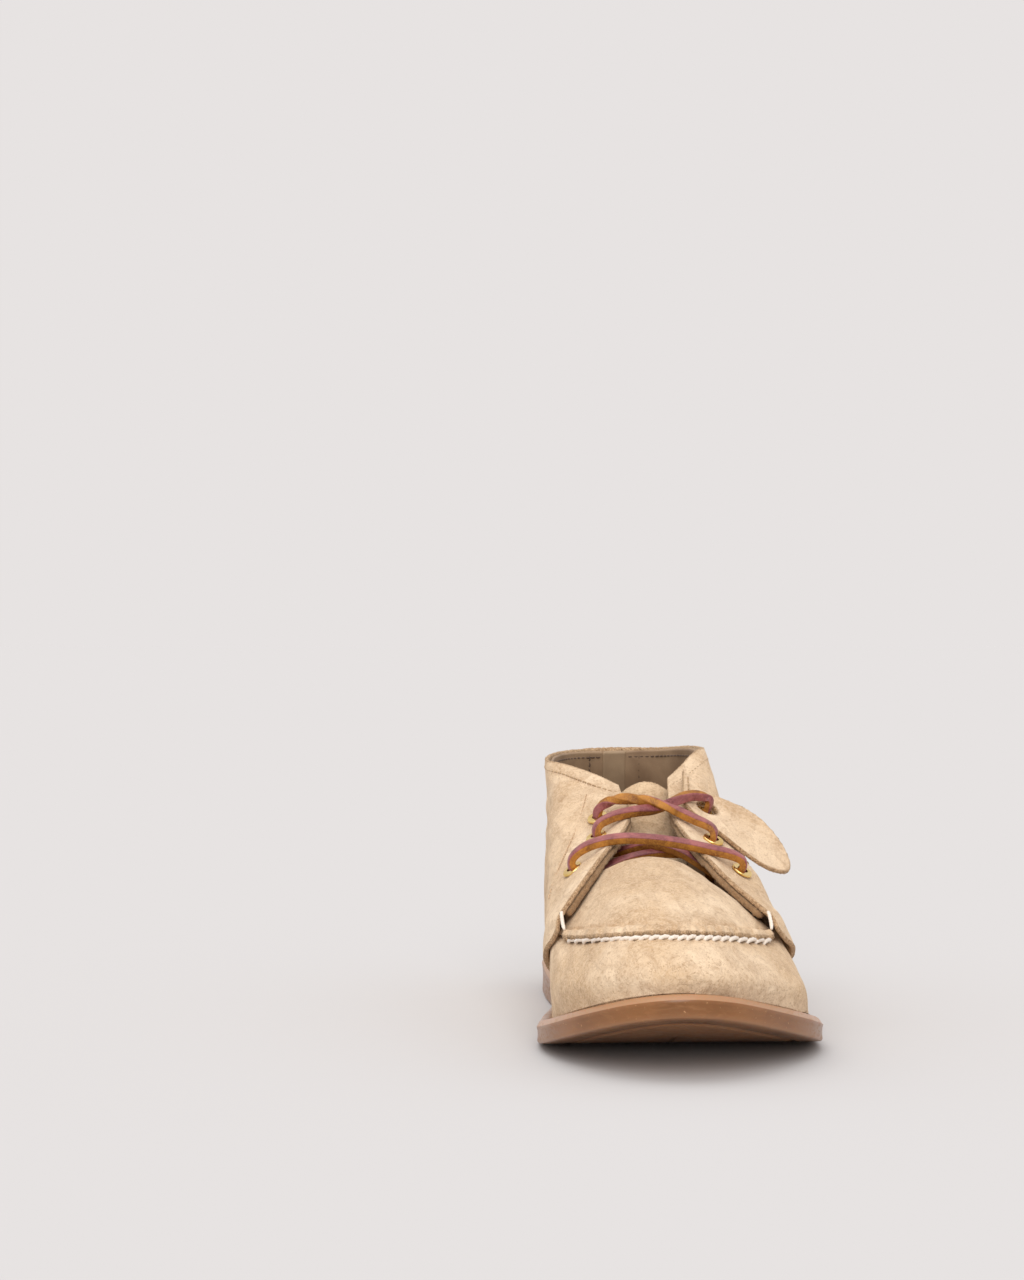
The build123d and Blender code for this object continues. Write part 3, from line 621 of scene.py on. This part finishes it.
def apron():
    a, b = sample(620, 150, warp_b=lambda t: 0.35 * t + 0.65 * t ** 1.8)
    theta = FACING_MED - APRON_SIDE + (4 + 2 * APRON_SIDE) * a
    seam = last(theta, SEAM)
    spread = 2 * a - 1
    back = np.stack([APRON_BACK_X[0] + (APRON_BACK_X[1] - APRON_BACK_X[0]) * a,
                     APRON_BACK_Y - 3 * (1 - spread ** 2),
                     APRON_BACK_Z - APRON_BACK_DROP * spread ** 2], -1)
    t = b ** 1.5
    crown = APRON_CROWN * np.sin(math.pi * np.minimum(t ** 0.8, 1.0)) * (1 - spread ** 4)
    base = seam + (back - seam) * t[..., None]
    base[..., 2] += crown
    up = normals(base)
    fade = ramp(1 - np.abs(spread), 0.10, 0.20)
    phase = 2 * math.pi * stitch_phase(theta)
    gather = 1 + 0.10 * np.cos(phase + 0.6) + 0.07 * np.cos(phase * 0.5 + 2.0)
    gather = gather + 0.10 * wander(base, 14, 21)
    lip = LIP * fade * gather * (1 - ramp(t, 0.022, 0.075)) * ramp(t + 0.02, 0.0, 0.021)
    folds = np.cos(phase * 0.5 + 1.0 + 0.7 * np.sin(phase * 0.21))
    folds = 0.30 * fade * np.exp(-((t - 0.075) / 0.03) ** 2) * folds
    crease = -0.5 * fade * np.exp(-((t - 0.085) / 0.022) ** 2)
    relief = (0.55 * wander(base, 38, 22) + 0.16 * wander(base, 10, 23)) * ramp(t, 0.05, 0.15)
    outer = base + up * (lip + folds + crease + relief)[..., None]
    inner = base - up * APRON_THICK
    piece = panel("apron_plug", outer, inner, "shoe", [SUEDE_MAT], bulge=0.35)
    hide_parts("apron")


HEEL_GAP = 0.01                        # ribs from the heel's middle to each quarter's back edge


def quarter(side):
    a, b = sample(420, 230, warp_a=lambda t: 0.55 * t + 0.45 * t ** 2)
    front = quarter_front(b)
    rib = front + (HEEL + HEEL_GAP - front) * a
    theta = mirror_rib(rib, side)
    base = last(theta, b)
    relief = 0.5 * wander(base, 46, 31 + side) + 0.11 * wander(base, 11, 33 + side)
    ankle = 0.55 * np.exp(-((b - 0.62) / 0.22) ** 2) * wander(base * (1, 1, 2.2), 30, 37 + side)
    calm = ramp(a, 0.0, 0.08) * ramp(1 - b, 0.0, 0.06) * ramp(b, 0.0, 0.08)
    pull = 0
    for rib_at, v_at in EYELETS[side]:
        d2 = ((rib - rib_at) / 0.24) ** 2 + ((b - v_at) / 0.06) ** 2
        pull = pull - 0.35 * np.exp(-d2)
    edge_roll = 0.25 * np.exp(-((1 - b) / 0.02) ** 2)
    high = WALL + SUEDE + facing_lift(FACING_MED - rib, b) + (relief + ankle) * calm + pull - edge_roll
    low = WALL + facing_lift(FACING_MED - rib, b) + relief * calm * 0.6 + pull * 0.5
    way = outward(theta, b)
    outer = seat(base + way * high[..., None])
    inner = seat(base + way * low[..., None])
    word = side_word(side)
    piece = panel("quarter_panel_" + word, outer, inner, "shoe", [SUEDE_MAT])
    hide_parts("quarter_" + word)


def stay(side):
    a, b = sample(90, 150)
    rib, v = FACING_MED - STAY_RIBS * a, 0.44 + 0.545 * b
    theta = mirror_rib(rib, side)
    base = last(theta, v)
    high = WALL - PLY_GAP + facing_lift(STAY_RIBS * a, v)
    way = outward(theta, v)
    outer = base + way * high[..., None]
    swell = 0.7 * np.exp(-(a / 0.2) ** 2) + 0.10 * wander(base, 7, 41)
    inner = base + way * (high - STAY - swell)[..., None]
    word = side_word(side)
    piece = panel("stay_ply_" + word, outer, inner, "shoe", [FLESH_MAT], bulge=0.4)
    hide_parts("facing_stay_" + word)


LINING_LOW, LINING_RUN = 0.06, 0.93    # level of the lining's lower edge, and how far it rises
STRIP_PROUD = 0.75                     # how far the middle strip stands out into the shoe


def lining_depth(share):
    """Outer face of the lining from the last, at a share of its rise."""
    return -3.0 + 2.6 * ramp(share, 0.5, 0.64)


def lining(side):
    a, b = sample(200, 110)
    rib = LINING_FRONT + (HEEL + STRIP_RIBS + 0.03 - LINING_FRONT) * a
    v = LINING_LOW + LINING_RUN * b
    theta = mirror_rib(rib, side)
    base = last(theta, v)
    high = lining_depth(b) + 0 * a
    slack = 0.35 * wander(base, 26, 51 + side) * ramp(b, 0.1, 0.3) * ramp(1 - b, 0, 0.06) - 0.1
    way = outward(theta, v)
    outer = base + way * high[..., None]
    inner = base + way * (high - LINING + np.minimum(slack, 0.15))[..., None]
    word = side_word(side)
    piece = panel("lining_skin_" + word, outer, inner, "shoe", [LINING_MAT], rings=2)
    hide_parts("lining_" + word)


def heel_strip():
    a, b = sample(24, 110)
    theta, v = HEEL + STRIP_RIBS * (2 * a - 1), LINING_LOW + LINING_RUN * b
    base, way = last(theta, v), outward(theta, v)
    high = lining_depth(b)
    outer = base + way * high[..., None]
    inner = base + way * (high - LINING - STRIP_PROUD)[..., None]
    piece = panel("lining_strip_heel", outer, inner, "shoe", [STRIP_MAT], rings=2)
    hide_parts("heel_lining_strip")


BACKSTAY_LOW, BACKSTAY_THICK = WALL + SUEDE + PLY_GAP, 1.5


def backstay():
    a, b = sample(60, 160)
    theta, v = HEEL + BACKSTAY_RIBS * (2 * a - 1), 0.02 + 0.98 * b
    base, way = last(theta, v), outward(theta, v)
    high = BACKSTAY_LOW + BACKSTAY_THICK + 0.12 * wander(base, 20, 61)
    outer, inner = base + way * high[..., None], base + way * BACKSTAY_LOW
    piece = panel("backstay_strip", outer, inner, "shoe", [SUEDE_MAT])
    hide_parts("backstay")


TONGUE_LINE = np.array(
    [(-57, 64.0), (-40, 65.4), (-20, 68.6), (0, 74.6), (15, 82), (27, 90), (35, 97)], float)
TONGUE_THICK = 1.8


def extended(line):
    """A line of points with one more at each end, for the cubic."""
    return np.concatenate([[2 * line[0] - line[1]], line, [2 * line[-1] - line[-2]]])


def tongue():
    a, b = sample(160, 70)
    spread = 2 * b - 1
    pts = extended(TONGUE_LINE)
    spans = len(TONGUE_LINE) - 1
    t = a * (1 - 0.10 * spread ** 2) * spans
    i = np.minimum(np.floor(t).astype(int), spans - 1)
    yz = cubic(pts[i], pts[i + 1], pts[i + 2], pts[i + 3], (t - i)[..., None])
    middle = -8.5 + 6.5 * a
    half = 14.5 + 2.0 * ramp(a, 0.1, 0.4) + 2.5 * ramp(a, 0.5, 1.0)
    drop = 6.0 + 4.5 * a
    base = np.stack([middle + half * spread, yz[..., 0], yz[..., 1] - drop * spread ** 2], -1)
    up = normals(base)
    up = up * np.sign(up[..., 2:])
    relief = 0.3 * wander(base, 24, 71) - 0.2
    folds = np.sin(base[..., 1] * 0.42 + 0.8 * np.sin(base[..., 0] * 0.2))
    creases = 0.35 * folds * np.exp(-((a - 0.62) / 0.15) ** 2)
    outer = base + up * np.minimum(relief + creases, 0.25)[..., None]
    inner = base - up * TONGUE_THICK
    piece = panel("tongue_flap", outer, inner, "tongue", [TONGUE_MAT], bulge=0.4)
    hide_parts("tongue")


# ---- threads ----
def sweep(path, up, profile, scale=None):
    """Rings of a profile carried along a path; up gives each ring's own y direction.
    The profile is one ring of points, or one for each point of the path."""
    path = np.asarray(path, float)
    along = unit(np.gradient(path, axis=0))
    up = unit(up - along * np.sum(up * along, axis=1, keepdims=True))
    side = np.cross(along, up)
    size = np.ones(len(path)) if scale is None else np.asarray(scale)
    prof = np.asarray(profile, float)
    if prof.ndim == 2:
        prof = np.broadcast_to(prof, (len(path),) + prof.shape)
    return (path[:, None] + side[:, None] * prof[..., :1] * size[:, None, None]
            + up[:, None] * prof[..., 1:] * size[:, None, None])


def tube_faces(rings, count, start):
    faces = grid_faces(rings, count, start, wrap_cols=True)
    faces.append(tuple(range(start, start + count)))
    faces.append(tuple(reversed(range(start + (rings - 1) * count, start + rings * count))))
    return faces


def rope_stitch(start, end, normal, radius, rise, dive=1.6, turns=1.5, steps=22, corners=12):
    """One thick stitch of two-strand thread, from hole to hole."""
    t = np.linspace(0, 1, steps)[:, None]
    arc = rise * np.sin(math.pi * np.clip(t, 0, 1)) ** 0.5 - dive * (np.abs(2 * t - 1) ** 7)
    path = start + (end - start) * t + normal * arc
    angle = np.linspace(0, 2 * math.pi, corners, endpoint=False)
    twist = 2 * math.pi * turns * t
    swell = radius * (0.80 + 0.20 * np.abs(np.cos(angle[None] - twist)))
    profile = np.stack([np.cos(angle) * swell, np.sin(angle) * swell], -1)
    ends = 0.55 + 0.45 * np.clip(np.minimum(t, 1 - t)[:, 0] * 7, 0, 1) ** 0.5
    return sweep(path, np.broadcast_to(normal, path.shape), profile, ends)


def thin_stitch(start, end, normal, radius, rise, steps=6, corners=6):
    """One machine stitch, its ends sunk into the leather."""
    t = np.linspace(0, 1, steps)[:, None]
    arc = rise * np.sin(math.pi * t) ** 0.7 - 0.35 * (np.abs(2 * t - 1) ** 5)
    path = start + (end - start) * t + normal * arc
    angle = np.linspace(0, 2 * math.pi, corners, endpoint=False)
    profile = np.stack([np.cos(angle), np.sin(angle)], -1) * radius
    return sweep(path, np.broadcast_to(normal, path.shape), profile)


def join_tubes(name, tubes, material, node, body="shoe"):
    verts, faces, start = [], [], 0
    for tube in tubes:
        rings, count = tube.shape[:2]
        verts.append(tube.reshape(-1, 3))
        faces += tube_faces(rings, count, start)
        start += rings * count
    piece = add_mesh(name, np.concatenate(verts), faces, body, [material])
    if node:
        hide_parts(node)


MOC_HALF = 0.098                       # about half the length of a moc stitch, in ribs
MOC_START, MOC_END = SEAM - 0.0225, SEAM - 0.013        # levels of its two ends
MOC_THREAD, TACK_THREAD = 0.84, 0.75   # radii


def moc_stitches():
    """The row of thick white stitches that gathers the vamp to the apron."""
    tubes = []
    for k in range(MOC_STITCHES):
        theta = SEAM_FIRST + SEAM_RUN * (k + 0.5) / MOC_STITCHES
        jitter = rng.normal(size=3)
        start = on_last(theta - MOC_HALF, MOC_START + 0.001 * jitter[0], 0.1)
        end = on_last(theta + MOC_HALF + 0.002, MOC_END + 0.001 * jitter[1], 0.1)
        rise = 1.0 + 0.08 * jitter[2]
        tubes.append(rope_stitch(start, end, outward(theta, SEAM - 0.018), MOC_THREAD, rise))
    join_tubes("moc_seam_thread", tubes, WHITE_THREAD, "moc_seam_stitches")


def tacks():
    """One white tack on each side, at the foot of the facing."""
    tubes = []
    for side in (-1, 1):
        theta = mirror_rib(14.06, side)
        start = on_last(theta, 0.425, 7.2)
        foot = on_last(mirror_rib(14.2, side), 0.352, 2.4)
        end = start + (foot - start) * 0.62
        tubes.append(rope_stitch(start, end, outward(theta, 0.4), TACK_THREAD, 0.4, dive=0.3, turns=3))
    join_tubes("corner_tacks", tubes, WHITE_THREAD, "tack_stitches")


def stitch_line(point, way, radius=0.3, pitch=2.9, gap=0.9):
    """Machine stitches along a line; point(t) and way(t) give place and outward direction."""
    t = np.linspace(0, 1, 200)
    path = point(t)
    run = np.concatenate([[0], np.cumsum(np.linalg.norm(np.diff(path, axis=0), axis=1))])
    count = int(run[-1] / pitch)
    tubes = []
    for k in range(count):
        s0, s1 = k * run[-1] / count, (k + 1) * run[-1] / count - gap
        t0, t1 = np.interp(s0, run, t), np.interp(s1, run, t)
        p0, p1 = point(np.array([t0]))[0], point(np.array([t1]))[0]
        tubes.append(thin_stitch(p0, p1, way(np.array([(t0 + t1) / 2]))[0], radius, 0.18))
    return tubes


def last_row(ribs, levels, height, side=-1, facing=1, radius=0.3):
    """Machine stitches between two ribs and two levels, on a face of the given height off the last.
    Facing is 1 on a face that looks outwards and -1 on one that looks into the shoe."""
    def place(t):
        rib = ribs[0] + (ribs[1] - ribs[0]) * t
        return rib, levels[0] + (levels[1] - levels[0]) * t

    def point(t):
        rib, v = place(t)
        return on_last(mirror_rib(rib, side), v, height(rib, v))

    def way(t):
        rib, v = place(t)
        return facing * outward(mirror_rib(rib, side), v)

    return stitch_line(point, way, radius)


def quarter_face(sink):
    """Height of the quarter's outer face above the last, less some mm."""
    return lambda rib, v: WALL + SUEDE + facing_lift(FACING_MED - rib, v) - sink


def lining_face(rib, v):
    return lining_depth((v - LINING_LOW) / LINING_RUN) - LINING - 0.02


def backstay_face(rib, v):
    return BACKSTAY_LOW + BACKSTAY_THICK - 0.05


TOPLINE_RIBS, TOPLINE_LEVELS = (13.75, HEEL + BACKSTAY_RIBS + 0.04), (0.95, 0.955)
FACING_RIBS, FACING_LEVELS = (12.62, 12.62), (0.45, 0.91)
COLLAR_LEVELS, COLLAR_FRONT = (0.955, 0.955), 4.9       # the row inside the collar
LINING_SEAM = 0.36                     # ribs from the middle strip to the seam beside it


def machine_rows():
    for side in (-1, 1):
        word = side_word(side)
        tubes = last_row(TOPLINE_RIBS, TOPLINE_LEVELS, quarter_face(0.15), side)
        join_tubes("topline_thread_" + word, tubes, TAN_THREAD, "topline_stitching_" + word)
        tubes = last_row(FACING_RIBS, FACING_LEVELS, quarter_face(0.1), side, radius=0.24)
        join_tubes("facing_thread_" + word, tubes, SAND_THREAD, "facing_stitching_" + word)
    outer, inner = [], []
    for edge in (-1, 1):
        rib = HEEL + edge * (BACKSTAY_RIBS - 0.07)
        outer += last_row((rib, rib), (0.05, 0.975), backstay_face)
        seam = HEEL + edge * (STRIP_RIBS + LINING_SEAM)
        inner += last_row((seam, seam), (0.4, 0.98), lining_face, facing=-1, radius=0.34)
        collar = (HEEL + edge * COLLAR_FRONT, HEEL + edge * (STRIP_RIBS + 0.05))
        inner += last_row(collar, COLLAR_LEVELS, lining_face, facing=-1, radius=0.34)
    join_tubes("backstay_thread", outer, TAN_THREAD, "backstay_stitching")
    join_tubes("lining_thread", inner, BROWN_THREAD, None)


# ---- lace, places of the eyelets, and tag ----
# For each side the rib and the level of every eyelet, from the lowest up.
EYELETS = {
    -1: [(13.28, 0.582), (13.34, 0.72), (13.15, 0.81)],
    1: [(13.34, 0.565), (13.34, 0.685), (12.95, 0.785)],
}
# Each point of the lace's route with the direction that its grain side faces and its fullness.
UP_FRONT = (0, -0.42, 0.9)
LACE = [
    ((-33.0, 30.0, 50.0), (-1, 0, 0.1), 1), ((-32.0, 24.0, 60.0), (-1, 0, 0.1), 1),
    ((-29.0, 14.5, 70.0), (-1, 0, 0.2), 0.9), ((-22.7, 5.8, 77.3), (-1, -0.5, 0), 0.78),
    ((-26.4, 1.8, 87.4), (-0.5, -0.7, -0.6), 0.9), ((-18.5, -0.2, 92.3), (-0.1, 0.7, -0.6), 1),
    ((-7.0, -4.0, 92.0), (0, 0.6, 0.8), 1), ((4.0, -8.5, 88.8), (0.1, -0.3, 0.95), 1),
    ((12.5, -13.2, 84.6), (0.35, -0.45, 0.8), 1), ((18.8, -17.3, 82.0), (0.7, -0.4, 0.6), 0.95),
    ((20.7, -19.6, 79.2), (1, -0.2, 0.3), 0.8), ((18.0, -16.2, 70.6), (0.8, -0.6, 0.1), 0.85),
    ((9.5, -20.5, 71.3), UP_FRONT, 0.9), ((-6.5, -27.2, 72.2), UP_FRONT, 0.9),
    ((-23.5, -31.3, 67.8), UP_FRONT, 0.9), ((-33.3, -33.0, 59.8), (-0.7, -0.7, 0.1), 0.85),
    ((-40.4, -35.4, 69.2), (-1, -0.1, 0.3), 0.85), ((-33.5, -37.2, 75.8), (-0.6, -0.3, 0.8), 1),
    ((-21.5, -38.3, 79.0), UP_FRONT, 1), ((-8.0, -39.0, 78.6), UP_FRONT, 1),
    ((5.0, -39.3, 76.8), UP_FRONT, 1), ((16.5, -39.4, 74.2), UP_FRONT, 1),
    ((26.0, -39.3, 72.0), (0.45, -0.35, 0.85), 1), ((30.4, -39.3, 68.8), (1, -0.2, 0.3), 0.85),
    ((25.5, -35.0, 59.2), (0.8, -0.6, -0.1), 0.85), ((15.0, -30.3, 66.8), UP_FRONT, 0.9),
    ((4.0, -27.6, 73.6), UP_FRONT, 0.9), ((-7.5, -24.6, 75.5), UP_FRONT, 0.9),
    ((-15.5, -19.8, 72.4), UP_FRONT, 0.9), ((-23.9, -12.7, 70.8), (-0.7, -0.6, 0.3), 0.85),
    ((-28.5, -15.8, 81.2), (-1, -0.2, 0.4), 0.88), ((-21.0, -12.6, 85.6), (-0.5, -0.35, 0.8), 1),
    ((-11.0, -9.2, 87.6), UP_FRONT, 1), ((-2.0, -5.0, 88.0), (0, -0.75, 0.65), 1),
    ((5.5, -2.0, 90.8), (0, -0.95, 0.2), 1), ((12.5, 2.0, 93.4), (0, -0.9, -0.4), 1),
    ((19.0, 3.9, 92.8), (0.3, -0.85, -0.5), 0.95), ((22.3, 3.7, 90.5), (0.7, -0.6, -0.2), 0.82),
    ((16.8, 9.1, 79.4), (0.9, -0.3, 0.1), 0.78), ((20.5, 16.5, 72.0), (1, 0, 0.1), 0.9),
    ((23.5, 22.5, 62.0), (1, 0, 0.1), 1), ((24.5, 28.0, 52.0), (1, 0, 0.1), 1),
]
LACE_WIDE, LACE_THICK, LACE_CORNER = 3.9, 3.5, 0.6
GRAIN_FACE = 0.45                      # the grain side begins this far above the lace's middle


def lace_profile():
    """A rounded rectangle, one ring of points."""
    corners = []
    for cx, cy, first in ((1, 1, 0), (-1, 1, 90), (-1, -1, 180), (1, -1, 270)):
        for step in range(4):
            angle = math.radians(first + 30 * step)
            corners.append((cx * (LACE_WIDE / 2 - LACE_CORNER) + LACE_CORNER * math.cos(angle),
                            cy * (LACE_THICK / 2 - LACE_CORNER) + LACE_CORNER * math.sin(angle)))
    return np.array(corners)


def lace():
    knots = np.array([p for p, _, _ in LACE], float)
    ups = np.array([u for _, u, _ in LACE], float)
    full = np.array([f for _, _, f in LACE], float)
    curve = bpy.data.curves.new("lace_route", "CURVE")
    curve.dimensions = "3D"
    spline = curve.splines.new("NURBS")
    spline.points.add(len(knots) - 1)
    for point, p in zip(spline.points, knots):
        point.co = (*p, 1)
    spline.order_u = 3
    spline.use_endpoint_u = True
    spline.resolution_u = 12
    holder = bpy.data.objects.new("lace_route", curve)
    line = bpy.data.meshes.new_from_object(holder)
    path = np.array([v.co[:] for v in line.vertices], float)
    bpy.data.objects.remove(holder)
    place = np.linspace(0, len(knots) - 1, len(path))
    i = np.minimum(np.floor(place).astype(int), len(knots) - 2)
    f = (place - i)[:, None]
    up = unit(ups[i] * (1 - f) + ups[i + 1] * f)
    size = full[i] * (1 - f[:, 0]) + full[i + 1] * f[:, 0]
    profile = lace_profile()
    tube = sweep(path, up, profile, size)
    rings, count = tube.shape[:2]
    faces = tube_faces(rings, count, 0)
    paint = []
    for k in range(rings - 1):
        for j in range(count):
            on_grain = min(profile[j, 1], profile[(j + 1) % count, 1]) > GRAIN_FACE
            paint.append(0 if on_grain else 1)
    paint += [1, 1]
    piece = add_mesh("leather_lace", tube.reshape(-1, 3), faces, "shoe",
                     [LACE_GRAIN, LACE_FLESH], face_material=paint)
    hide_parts("lace")


# The tag's upper side, the way its leaf points, and its height above the quarter at the eyelet.
TAG_NORMAL, TAG_REACH, TAG_LIFT = (0.36, -0.43, 0.83), (0.80, -0.31, -0.51), 2.3
TAG_THICKNESS, TAG_HOLE = 1.8, 4.9
HOLE_WEAR = 0.1
EAR_ROW = np.array([(-8.6, -1.5), (-16.4, 14.2)])       # ends of the stitch row on the tag's ear
TAG_STEM = [(-7, -7.5), (-10.5, -2.5), (-19.5, 17), (-7.5, 10)]
TAG_LEAF = np.array([
    (-7.5, 10), (2, 13.5), (12, 15.5), (22, 14.5), (33, 8.5), (41, -1), (42, -9.5), (36, -16),
    (26, -17.5), (12, -15), (0, -11.5), (-7, -7.5),
], float)


def hang_tag():
    rib, v = EYELETS[1][-1]
    theta = mirror_rib(rib, 1)
    seat_at = on_last(theta, v, WALL + SUEDE + facing_lift(FACING_MED - rib, v))
    normal = unit(np.array(TAG_NORMAL))
    x_dir = np.array(TAG_REACH)
    x_dir = unit(x_dir - normal * (x_dir @ normal))
    y_dir = np.cross(normal, x_dir)
    origin = seat_at + normal * TAG_LIFT
    n = len(TAG_LEAF)
    ext = extended(TAG_LEAF)
    t = np.linspace(0, n - 1, 260)[:-1]
    i = np.minimum(np.floor(t).astype(int), n - 2)
    leaf = cubic(ext[i], ext[i + 1], ext[i + 2], ext[i + 3], (t - i)[:, None])
    stem = []
    for p, q in zip(TAG_STEM, TAG_STEM[1:]):
        for s in np.linspace(0, 1, 22)[:-1]:
            stem.append(np.array(p) * (1 - s) + np.array(q) * s)
    rim = np.concatenate([leaf, np.array(stem)])
    angle = np.unwrap(np.arctan2(rim[:, 1], rim[:, 0]))
    hole = np.stack([np.cos(angle), np.sin(angle)], 1) * (TAG_HOLE + HOLE_WEAR)
    share = np.linspace(0, 1, 40)[None, :, None] ** 0.9
    flat = hole[:, None] + (rim - hole)[:, None] * share
    x, y = flat[..., 0], flat[..., 1]
    droop = -0.0011 * np.maximum(x - 4, 0) ** 2
    waves = 0.25 * np.sin(x * 0.13 + 0.5)
    curl = 0.0028 * y ** 2 * ramp(x, 0, 20)
    dish = -1.25 * np.exp(-(x ** 2 + y ** 2) / 95.0)
    bend = droop + waves + curl + dish
    place = origin + x[..., None] * x_dir + y[..., None] * y_dir
    low = place + normal * bend[..., None]
    high = low + normal * (TAG_THICKNESS + 0.06 * wander(place, 6, 81))[..., None]
    piece = panel("leaf_tag", high, low, "hang_tag", [SUEDE_MAT], bulge=0.3, wrap=True)
    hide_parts("hang_tag")

    def ear(t):
        p = EAR_ROW[0] + (EAR_ROW[1] - EAR_ROW[0]) * t[:, None]
        height = TAG_THICKNESS + 0.02 - 0.02 * t[:, None]
        return origin + p[:, :1] * x_dir + p[:, 1:] * y_dir + normal * height

    tubes = stitch_line(ear, lambda t: np.broadcast_to(normal, (len(t), 3)))
    join_tubes("ear_thread", tubes, TAN_THREAD, None, body="hang_tag")


outsole()
footbed()
vamp()
apron()
for side in (-1, 1):
    quarter(side)
    stay(side)
    lining(side)
heel_strip()
backstay()
tongue()
moc_stitches()
tacks()
machine_rows()
lace()
hang_tag()

# Pieces of the frame that are shown as they are, in materials made here.
BOARD_MAT = plain_core("board_fibre", srgb(170, 140, 104), srgb(132, 104, 74), 1.2, 0.85)
FOAM_MAT = plain_core("foam_cells", srgb(226, 220, 206), srgb(196, 188, 170), 1.0, 0.9)
COUNTER_MAT = plain_core("counter_fibre", srgb(186, 170, 142), srgb(150, 132, 104), 1.4, 0.85)
CARRIED = {
    "eyelets_medial": (BRASS, "brass"),
    "eyelets_lateral": (BRASS, "brass"),
    "insole_board": (BOARD_MAT, "board"),
    "footbed_foam": (FOAM_MAT, "foam"),
    "heel_counter": (COUNTER_MAT, "counter_board"),
}
for node, (material, slot_name) in CARRIED.items():
    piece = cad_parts[node]
    piece.data.materials.clear()
    piece.data.materials.append(material)

# ---- stage, light and camera ----
BACKDROP = srgb(231, 227, 226)
scene = bpy.context.scene
scene.view_settings.view_transform = "Standard"
world = bpy.data.worlds.new("studio")
world.use_nodes = True
world.node_tree.nodes["Background"].inputs["Color"].default_value = BACKDROP
world.node_tree.nodes["Background"].inputs["Strength"].default_value = 1.0
scene.world = world


def sun(name, strength, direction, spread_deg):
    """Adds a soft sun and returns how brightly it lights the floor."""
    data = bpy.data.lights.new(name, "SUN")
    data.energy = strength
    data.angle = math.radians(spread_deg)
    light = bpy.data.objects.new(name, data)
    light.rotation_mode = "QUATERNION"
    light.rotation_quaternion = Vector(direction).to_track_quat("-Z", "Y")
    scene.collection.objects.link(light)
    down = Vector(direction).normalized()
    return strength * max(-down.z, 0) / math.pi


lit = sun("key", 1.5, (0.12, 1.0, -0.6), 40)
lit += sun("top", 0.8, (0.2, 0.15, -1.0), 60)

floor_mesh = bpy.data.meshes.new("floor")
FLOOR_REACH, FLOOR_GAP = 60.0, 0.0002
corners = [(x * FLOOR_REACH, y * FLOOR_REACH, 0) for x, y in ((-1, -1), (1, -1), (1, 1), (-1, 1))]
floor_mesh.from_pydata(corners, [], [(0, 1, 2, 3)])
floor = bpy.data.objects.new("floor", floor_mesh)
floor.location.z = -FLOOR_GAP
scene.collection.objects.link(floor)
paint = bpy.data.materials.new("pale_floor")
paint.use_nodes = True
tree = paint.node_tree
tree.nodes.remove(tree.nodes["Principled BSDF"])
diffuse = tree.nodes.new("ShaderNodeBsdfDiffuse")
# This paint, lit by the world and the suns, comes out in the backdrop's own colour.
diffuse.inputs["Color"].default_value = tuple(c / (c + lit) for c in BACKDROP[:3]) + (1.0,)
tree.links.new(diffuse.outputs["BSDF"], tree.nodes["Material Output"].inputs["Surface"])
floor_mesh.materials.append(paint)

camera_data = bpy.data.cameras.new("camera")
camera_data.sensor_fit = "AUTO"
camera_data.sensor_width = 36.0
camera_data.lens = 73.125
camera = bpy.data.objects.new("camera", camera_data)
camera.location = (-0.1158, -1.0599, 0.157)
camera.rotation_mode = "QUATERNION"
camera.rotation_quaternion = Vector((0.0523, 0.9986, 0.0)).to_track_quat("-Z", "Y")
scene.collection.objects.link(camera)
scene.camera = camera
